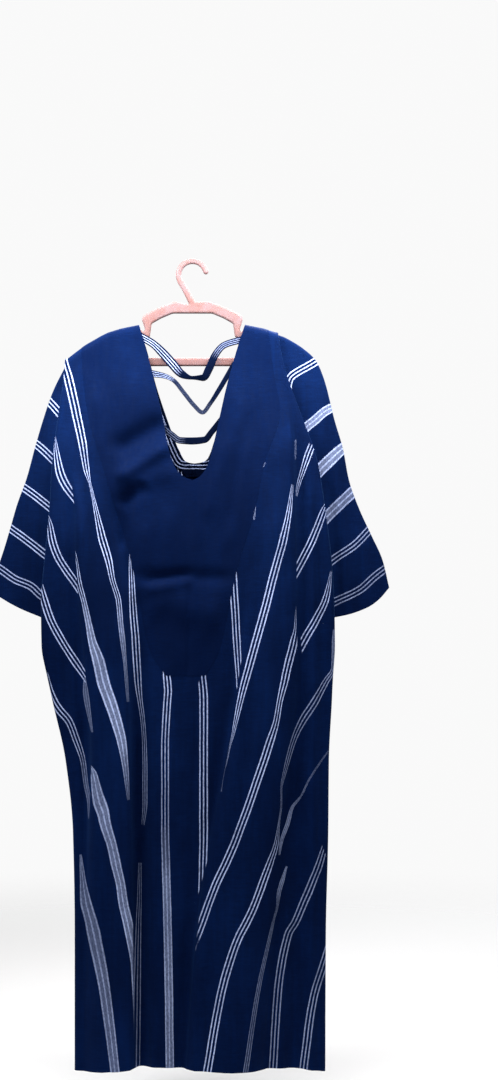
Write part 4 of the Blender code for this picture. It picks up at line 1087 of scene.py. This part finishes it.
def cotton(name, dark, light, white, striped=True, streaky=0.3):
    """Hand-woven cotton: uneven indigo, slubs across the strip, fine warp ribs, a soft nap, white yarn lines."""
    made = bpy.data.materials.new(name)
    tree = Tree(made)
    place = tree.place()
    patches = tree.noise(place, PATCH_WAVES, 4.0, 0.6)
    streaks = tree.noise(place, STREAK_WAVES, 3.0, 0.6)
    slubs = tree.noise(place, SLUB_WAVES, 3.0, 0.6)
    grain = tree.noise(place, GRAIN_WAVES, 2.0)
    tone = tree.total((patches, 0.5), (streaks, streaky), (slubs, 0.25))
    cloth = tree.mix(tree.ramp(tone, 0.34, 0.70), dark, light)
    relief = [(slubs, 0.6), (grain, 0.5)]
    if striped:
        drift = tree.noise(place, DRIFT_WAVES, 2.0)
        wander = tree.math("MULTIPLY", tree.math("SUBTRACT", drift, 0.5), LINE_WANDER)
        yarn = triple_line(tree, CHANNELS[0], wander)
        for channel in CHANNELS[1:]:
            yarn = tree.math("MAXIMUM", yarn, triple_line(tree, channel, wander))
        worn = tree.ramp(tree.noise(place, WEAR_WAVES, 2.0), 0.30, 0.62, 0.55, 1.0)
        faded = tree.ramp(tree.noise(place, FADING_WAVES, 2.0), 0.30, 0.60, 0.75, 1.0)
        yarn = tree.math("MULTIPLY", yarn, tree.math("MULTIPLY", worn, faded))
        cloth = tree.mix(yarn, cloth, white)
        relief.append((yarn, 0.5))
    tree.shade({
        "Base Color": cloth,
        "Normal": tree.bump(tree.total(*relief), 0.5, 0.0006),
        "Roughness": tree.ramp(streaks, 0.2, 0.8, 0.72, 0.92),
        "Specular IOR Level": 0.06,
        "Specular Tint": (0.25, 0.5, 1.0),
        "Sheen Weight": 0.09,
        "Sheen Roughness": 0.38,
        "Sheen Tint": (0.12, 0.34, 0.95),
    })
    return made


def moulded_plastic(name, colour, shade):
    """Moulded plastic: a faint cloudiness in its colour, rubbed spots and a shallow ripple."""
    made = bpy.data.materials.new(name)
    tree = Tree(made)
    place = tree.place()
    cloud = tree.noise(place, CLOUD_WAVES, 3.0)
    rub = tree.noise(place, RUB_WAVES, 4.0)
    ripple = tree.noise(place, RIPPLE_WAVES, 2.0)
    tree.shade({
        "Base Color": tree.mix(tree.ramp(cloud, 0.3, 0.7), colour, shade),
        "Roughness": tree.ramp(rub, 0.3, 0.75, 0.42, 0.58),
        "Normal": tree.bump(ripple, 0.02, 0.0004),
        "Specular IOR Level": 0.12,
        "Subsurface Weight": 0.12,
        "Subsurface Radius": (0.01, 0.004, 0.003),
    })
    return made


def shell(name, points, faces, finish, wall=CLOTH_WALL, offset=-1):
    """A cloth piece: a smooth-shaded surface with its wall applied."""
    mesh = bpy.data.meshes.new(name)
    mesh.from_pydata([tuple(p) for p in np.asarray(points) * MM], [], faces)
    mesh.materials.append(finish)
    mesh.shade_smooth()
    obj = bpy.data.objects.new(name, mesh)
    bpy.context.scene.collection.objects.link(obj)
    if wall:
        solid = obj.modifiers.new("Cloth wall", "SOLIDIFY")
        solid.thickness = wall * MM
        solid.offset = offset
        solid.use_even_offset = False
    return obj


def set_walls(pieces):
    """Makes each cloth piece's wall part of its mesh, with crisp rims."""
    depsgraph = bpy.context.evaluated_depsgraph_get()
    for piece in pieces:
        whole = piece.evaluated_get(depsgraph)
        mesh = bpy.data.meshes.new_from_object(whole, preserve_all_data_layers=True, depsgraph=depsgraph)
        piece.modifiers.clear()
        piece.data = mesh
        mesh.set_sharp_from_angle(angle=RIM_ANGLE)


def dressed(obj, nodes):
    """Puts a piece in the frame: it rides on the robe's body and stands for its nodes."""
    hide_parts(*nodes)
    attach(obj, "root")


def panel_stripes(points, tags, left, right, stripes):
    """Stripe values for a panel's points: by view on the main layer, by cloth width behind the side folds."""
    values = stripe_values(points[:, [0, 2]], stripes)
    fold_column = len(FINE_RETURN) + FINE_TURN - FINE_TURN // 2
    for half, grid in enumerate((left, right)):
        x, y, _ = grid
        steps = np.hypot(np.diff(x, axis=0), np.diff(y, axis=0))
        inward = np.concatenate([np.zeros((1, x.shape[1])), np.cumsum(steps, axis=0)])
        width = inward[fold_column]
        behind = np.flatnonzero((tags[:, 0] == half) & (tags[:, 1] < fold_column))
        from_fold = (width - inward)[tags[behind, 1], tags[behind, 2]]
        values[:, behind, 1] = -STRIPE_EDGE
        for k in range(2):
            distance = from_fold - RETURN_STRIPE * (RETURN_FIRST + RETURN_NEXT * k)
            values[k, behind, 0] = distance
            values[k, behind, 1] = np.clip(STRIPE_REACH - np.abs(distance), -STRIPE_EDGE, STRIPE_EDGE)
            values[k, behind, 2] = 0.0
            values[k, behind, 3] = RETURN_LIGHT
    return values


def make_panel(name, face, counts, stripes, finish):
    """A dressed front or back panel, with the grids that its overlays use."""
    left = half_grid(face, -1, counts[0], FINE_TURN, FINE_RETURN)
    right = half_grid(face, 1, counts[1], FINE_TURN, FINE_RETURN)
    last_row = left[0].shape[1] - 1
    points, faces, tags = panel_points(face, left, right, 0, 0, last_row)
    obj = shell(name, points, faces, finish)
    write_stripes(obj.data, panel_stripes(points, tags, left, right, stripes))
    return obj, left, right


def make_overlay(name, face, left, right, counts, bottom_z, lift, wall, offset, finish, stripes):
    """A layer that lies on a panel, from the panel's own points."""
    first_left = left[0].shape[0] - 1 - counts[0]
    first_right = right[0].shape[0] - 1 - counts[1]
    last_row = int(np.argmin(np.abs(left[2][-1] - bottom_z)))
    points, faces, _ = panel_points(face, left, right, first_left, first_right, last_row, lift)
    obj = shell(name, points, faces, finish, wall, offset)
    write_stripes(obj.data, stripe_values(points[:, [0, 2]], stripes))
    return obj


def make_sleeve(name, sleeve, stripes, finish):
    """A dressed sleeve: a flattened tube, open at both ends."""
    grid = sleeve_grid(sleeve, np.linspace(0, 1, SLEEVE_ROWS), np.linspace(0, 1, SLEEVE_AROUND)[1:-1])
    rows, columns = grid.shape[:2]
    faces = []
    for r in range(rows - 1):
        for c in range(columns):
            quad = [r * columns + c, r * columns + (c + 1) % columns,
                    (r + 1) * columns + (c + 1) % columns, (r + 1) * columns + c]
            faces.append(quad[::-1] if sleeve["side"] < 0 else quad)
    points = grid.reshape(-1, 3)
    obj = shell(name, points, faces, finish)
    write_stripes(obj.data, stripe_values(points[:, [0, 2]], stripes))
    return obj


def make_strap(name, strap, face, finish):
    """A dressed strap: a soft flat ribbon with rounded edges."""
    shares = np.linspace(0, 1, STRAP_STEPS)
    middle = np.stack([strap["x"], strap["z"]], axis=-1).astype(float)
    line = bezier_through(middle, shares)
    chords = np.concatenate([[0], np.cumsum(np.linalg.norm(np.diff(middle, axis=0), axis=1))])
    width = along(dict(z=chords, w=strap["width"]), "w", shares * chords[-1])
    heading = np.gradient(line, axis=0)
    heading /= np.linalg.norm(heading, axis=1, keepdims=True)
    side = np.stack([-heading[:, 1], heading[:, 0]], axis=-1)
    depth_at = strap_depth(face, strap["slack"])
    low = line - side * width[:, None] / 2
    high = line + side * width[:, None] / 2
    low_depth, high_depth = depth_at(low, shares), depth_at(high, shares)
    tilt = np.zeros(STRAP_STEPS)
    for place, length, turn in strap["turns"]:
        tilt = tilt + turn * np.exp(-((shares - place) / length) ** 2)
    over = np.linspace(-1, 1, STRAP_ACROSS)
    ring = [(t, 0.5) for t in over] + [(t, -0.5) for t in over[::-1]]
    points, across = [], []
    for i in range(STRAP_STEPS):
        for t, face_side in ring:
            share = (t + 1) / 2
            x, z = low[i] * (1 - share) + high[i] * share
            depth = low_depth[i] * (1 - share) + high_depth[i] * share
            depth += tilt[i] * t * width[i] / 2 - abs(tilt[i]) * width[i] / 2
            soft = math.sqrt(max(0.0, 1 - abs(t) ** STRAP_EDGE_ROUNDING))
            wall = STRAP_WALL * (STRAP_THINNEST + (1 - STRAP_THINNEST) * soft)
            depth += (face_side - 0.5) * wall - STRAP_EDGE_DROP * (1 - soft)
            points.append((x, -depth, z))
            across.append(t * width[i] / 2)
    count = len(ring)
    faces = []
    for r in range(STRAP_STEPS - 1):
        for c in range(count):
            faces.append([r * count + c, (r + 1) * count + c, (r + 1) * count + (c + 1) % count,
                          r * count + (c + 1) % count])
    faces.append(list(range(count)))
    faces.append([(STRAP_STEPS - 1) * count + k for k in range(count - 1, -1, -1)])
    obj = shell(name, np.array(points), faces, finish, wall=0)
    face_outwards(obj)
    values = np.zeros((len(CHANNELS), len(points), 4))
    values[:, :, 1] = -STRIPE_EDGE
    # The lines' brightness along the strap is painted light and shade, taken from the lit table.
    lit_share, painted_line_light = np.asarray(strap["lit"], float).T
    values[0, :, 0] = np.array(across) * LINE_PITCH / (np.repeat(width, count) * strap["lines_apart"])
    values[0, :, 1] = STRIPE_EDGE
    values[0, :, 3] = np.repeat(np.interp(shares, lit_share, painted_line_light), count)
    write_stripes(obj.data, values)
    return obj


def face_outwards(obj):
    """Recalculates the normals of a closed mesh so that they point out."""
    shape = bmesh.new()
    shape.from_mesh(obj.data)
    bmesh.ops.recalc_face_normals(shape, faces=shape.faces)
    shape.to_mesh(obj.data)
    shape.free()


def make_hanger(finish):
    """The hanger on the solid's outline, with rounder edges and corners."""
    flat = bpy.data.curves.new("hanger_moulding", "CURVE")
    flat.dimensions = "2D"
    flat.fill_mode = "BOTH"
    flat.extrude = (HANGER_THICKNESS / 2 - HANGER_EDGE_RADIUS) * MM
    flat.bevel_depth = HANGER_EDGE_RADIUS * MM
    flat.bevel_resolution = HANGER_EDGE_STEPS
    flat.offset = -HANGER_EDGE_RADIUS * MM
    for outline in (rounded(hook_outline() + frame_outline()), rounded(window_outline())):
        spline = flat.splines.new("POLY")
        spline.points.add(len(outline) - 1)
        for point, (x, z) in zip(spline.points, outline):
            point.co = (x * MM, z * MM, 0, 1)
        spline.use_cyclic_u = True
    guide = bpy.data.objects.new("hanger_outline", flat)
    guide.rotation_euler = (math.pi / 2, 0, 0)
    bpy.context.scene.collection.objects.link(guide)
    bpy.context.view_layer.update()
    evaluated = guide.evaluated_get(bpy.context.evaluated_depsgraph_get())
    mesh = bpy.data.meshes.new_from_object(evaluated)
    mesh.transform(guide.matrix_world)
    bpy.data.objects.remove(guide)
    mesh.materials.clear()
    mesh.materials.append(finish)
    obj = bpy.data.objects.new("hanger_moulding", mesh)
    bpy.context.scene.collection.objects.link(obj)
    shape = bmesh.new()
    shape.from_mesh(mesh)
    bmesh.ops.remove_doubles(shape, verts=shape.verts, dist=WELD)
    bmesh.ops.recalc_face_normals(shape, faces=shape.faces)
    shape.to_mesh(mesh)
    shape.free()
    mesh.shade_smooth()
    return obj


def rounded(outline):
    """The outline with its sharper corners cut by short curves."""
    points = np.asarray(outline, float)
    out = []
    for i, spot in enumerate(points):
        before, after = points[i - 1] - spot, points[(i + 1) % len(points)] - spot
        near, far = np.linalg.norm(before), np.linalg.norm(after)
        if np.dot(before, after) / (near * far) < CORNER_STRAIGHT:
            out.append(tuple(spot))
            continue
        start = spot + before * min(CORNER_RADIUS / near, CORNER_LIMIT)
        end = spot + after * min(CORNER_RADIUS / far, CORNER_LIMIT)
        for t in CORNER_STEPS:
            out.append(tuple(start * (1 - t) ** 2 + spot * 2 * t * (1 - t) + end * t ** 2))
    return out


def area_light(name, place, aim, size, energy, colour):
    """A soft rectangular light."""
    lamp = bpy.data.lights.new(name, "AREA")
    lamp.shape = "RECTANGLE"
    lamp.size, lamp.size_y = size
    lamp.energy = energy
    lamp.color = colour
    obj = bpy.data.objects.new(name, lamp)
    obj.location = place
    obj.rotation_euler = (Vector(aim) - Vector(place)).to_track_quat("-Z", "Y").to_euler()
    obj.visible_camera = False
    bpy.context.scene.collection.objects.link(obj)


def faded_floor(name, colour):
    """A pale matt floor, solid under the robe and fading into the background around it."""
    made = bpy.data.materials.new(name)
    tree = Tree(made)
    flat = tree.add("VectorMath", {0: tree.place(), 1: (1, 1, 0)})
    flat.operation = "MULTIPLY"
    reach = tree.add("VectorMath", {0: flat.outputs["Vector"]})
    reach.operation = "LENGTH"
    fading = tree.ramp(reach.outputs["Value"], *FLOOR_FADE, 1.0, 0.0)
    tree.shade({"Base Color": colour, "Roughness": 0.9, "Alpha": fading})
    return made


def light_room(seen, given):
    """A plain white room: its walls look this bright, and give the robe only the softer light."""
    world = bpy.data.worlds.new("world")
    tree = Tree(world)
    walls = tree.nodes["Background"]
    ray = tree.nodes.new("ShaderNodeLightPath")
    tree.put(walls.inputs["Color"], (1.0, 1.0, 1.0))
    tree.put(walls.inputs["Strength"], tree.ramp(ray.outputs["Is Camera Ray"], 0.0, 1.0, given, seen))
    bpy.context.scene.world = world


# Camera: level, straight at the front
FRAME_W, FRAME_H = 498, 1080
CAMERA_DISTANCE = 3.4
SCALE_PLANE = 0.024
SENSOR_HEIGHT = 24.0
camera_data = bpy.data.cameras.new("camera")
camera_data.sensor_fit = "VERTICAL"
camera_data.sensor_height = SENSOR_HEIGHT
camera_data.lens = SENSOR_HEIGHT * (CAMERA_DISTANCE - SCALE_PLANE) / (FRAME_H * PHOTO_MM * MM)
camera = bpy.data.objects.new("camera", camera_data)
camera.location = ((FRAME_W / 2 - PHOTO_ORIGIN[0]) * PHOTO_MM * MM, -CAMERA_DISTANCE,
                   (PHOTO_ORIGIN[1] - FRAME_H / 2) * PHOTO_MM * MM)
camera.rotation_euler = (math.pi / 2, 0, 0)
bpy.context.scene.collection.objects.link(camera)
bpy.context.scene.camera = camera

# Finishes
striped_cotton = cotton("striped_cotton", (0.0003, 0.0028, 0.020), (0.0012, 0.0078, 0.046),
                        (0.37, 0.45, 0.72), streaky=0.2)
plain_cotton = cotton("plain_cotton", (0.0003, 0.0026, 0.019), (0.0010, 0.0072, 0.044),
                      (0.37, 0.45, 0.72), striped=False, streaky=0.08)
striped_trim = cotton("striped_trim", (0.0002, 0.0010, 0.007), (0.0006, 0.0024, 0.014), (0.34, 0.42, 0.70))
pink_plastic = moulded_plastic("pink_plastic", (0.122, 0.066, 0.063), (0.128, 0.084, 0.090))

# Cloth
front, back = fine_face(-1), fine_face(1)
back_stripes = []
for top_x, middle_x, hem_x in BACK_STRIPES:
    across = (top_x, top_x * 0.3 + middle_x * 0.7, middle_x, middle_x * 0.5 + hem_x * 0.5, hem_x)
    back_stripes.append(plain_stripe(resampled(list(zip(across, BACK_STRIPE_HEIGHTS)))))
front_cloth, front_left, front_right = make_panel("front_cloth", front, (FINE_LEFT, FINE_RIGHT),
                                                  [traced(stripe) for stripe in FRONT_STRIPES], striped_cotton)
back_cloth, back_left, back_right = make_panel("back_cloth", back, (FINE_BACK, FINE_BACK), back_stripes,
                                               striped_cotton)
yoke_cloth = make_overlay("yoke_cloth", front, front_left, front_right, (FINE_LEFT[-1], FINE_RIGHT[-1]),
                          YOKE_BOTTOM_Z, YOKE_LIFT, FINE_YOKE_WALL, 1, plain_cotton, [])
scoop = []
for word, order in (("left", 1), ("right", -1)):
    heights = np.linspace(BAND_STRIPE["top"], BAND_STRIPE["bottom"], BAND_STRIPE["steps"])[::order]
    out = -order * BAND_STRIPE["out"]
    scoop += [(x + out, z - BAND_STRIPE["down"]) for x, z in zip(along(BACK_NECK, word, heights), heights)]
band_cloth = make_overlay("neck_band_cloth", back, back_left, back_right, (FINE_BACK[-1], FINE_BACK[-1]),
                          BAND_BOTTOM_Z, -CLOTH_WALL - LAYER_GAP, BAND_WALL, -1, striped_trim,
                          [plain_stripe(resampled(scoop))])
left_sleeve_cloth = make_sleeve("left_sleeve_cloth", LEFT_SLEEVE, [traced(s) for s in LEFT_SLEEVE_STRIPES],
                                striped_cotton)
right_sleeve_cloth = make_sleeve("right_sleeve_cloth", RIGHT_SLEEVE, [traced(s) for s in RIGHT_SLEEVE_STRIPES],
                                 striped_cotton)
upper_ribbon = make_strap("upper_ribbon", UPPER_STRAP, front, striped_trim)
middle_ribbon = make_strap("middle_ribbon", MIDDLE_STRAP, front, striped_trim)
lower_ribbon = make_strap("lower_ribbon", LOWER_STRAP, front, striped_trim)
hanger_moulding = make_hanger(pink_plastic)

set_walls((front_cloth, back_cloth, yoke_cloth, band_cloth, left_sleeve_cloth, right_sleeve_cloth))

dressed(front_cloth, ["front_panel"])
dressed(back_cloth, ["back_panel"])
dressed(yoke_cloth, ["front_yoke"])
dressed(band_cloth, ["back_neck_band"])
dressed(left_sleeve_cloth, ["left_sleeve"])
dressed(right_sleeve_cloth, ["right_sleeve"])
dressed(upper_ribbon, ["upper_strap"])
dressed(middle_ribbon, ["middle_strap"])
dressed(lower_ribbon, ["lower_strap"])
dressed(hanger_moulding, ["hanger"])

# Floor, light and surroundings
FLOOR_Z = -1.42
FLOOR_REACH = 3.0
FLOOR_FADE = (0.7, 2.6)
BACKGROUND_SEEN = 0.95
ROOM_LIGHT = 0.19
floor_mesh = bpy.data.meshes.new("floor")
corners = [(-1, -1), (1, -1), (1, 1), (-1, 1)]
floor_mesh.from_pydata([(x * FLOOR_REACH, y * FLOOR_REACH, FLOOR_Z) for x, y in corners], [], [(0, 1, 2, 3)])
floor = bpy.data.objects.new("floor", floor_mesh)
bpy.context.scene.collection.objects.link(floor)
floor_mesh.materials.append(faded_floor("pale_floor", (0.9, 0.9, 0.9)))
light_room(BACKGROUND_SEEN, ROOM_LIGHT)
area_light("left_key", (-0.28, -0.20, 0.12), (-0.17, 0.0, -0.22), (0.30, 0.2), 12, (1.0, 0.97, 0.95))
area_light("right_key", (0.26, -0.20, 0.12), (0.17, 0.0, -0.22), (0.30, 0.2), 12, (1.0, 0.97, 0.95))
area_light("left_soft", (-1.2, -1.3, 0.35), (0.0, 0.0, -0.35), (0.8, 0.8), 26, (0.97, 0.98, 1.0))
area_light("right_soft", (1.3, -1.2, 0.35), (0.1, 0.0, -0.35), (0.8, 0.8), 12, (0.97, 0.98, 1.0))
area_light("back_key", (0.1, 0.32, 0.22), (0.0, 0.0, -0.25), (0.6, 0.3), 12, (1.0, 0.98, 0.96))
area_light("back_soft", (1.5, 2.1, 0.3), (0.0, 0.0, -0.6), (0.9, 1.2), 36, (0.97, 0.98, 1.0))
bpy.context.scene.view_settings.view_transform = "Standard"
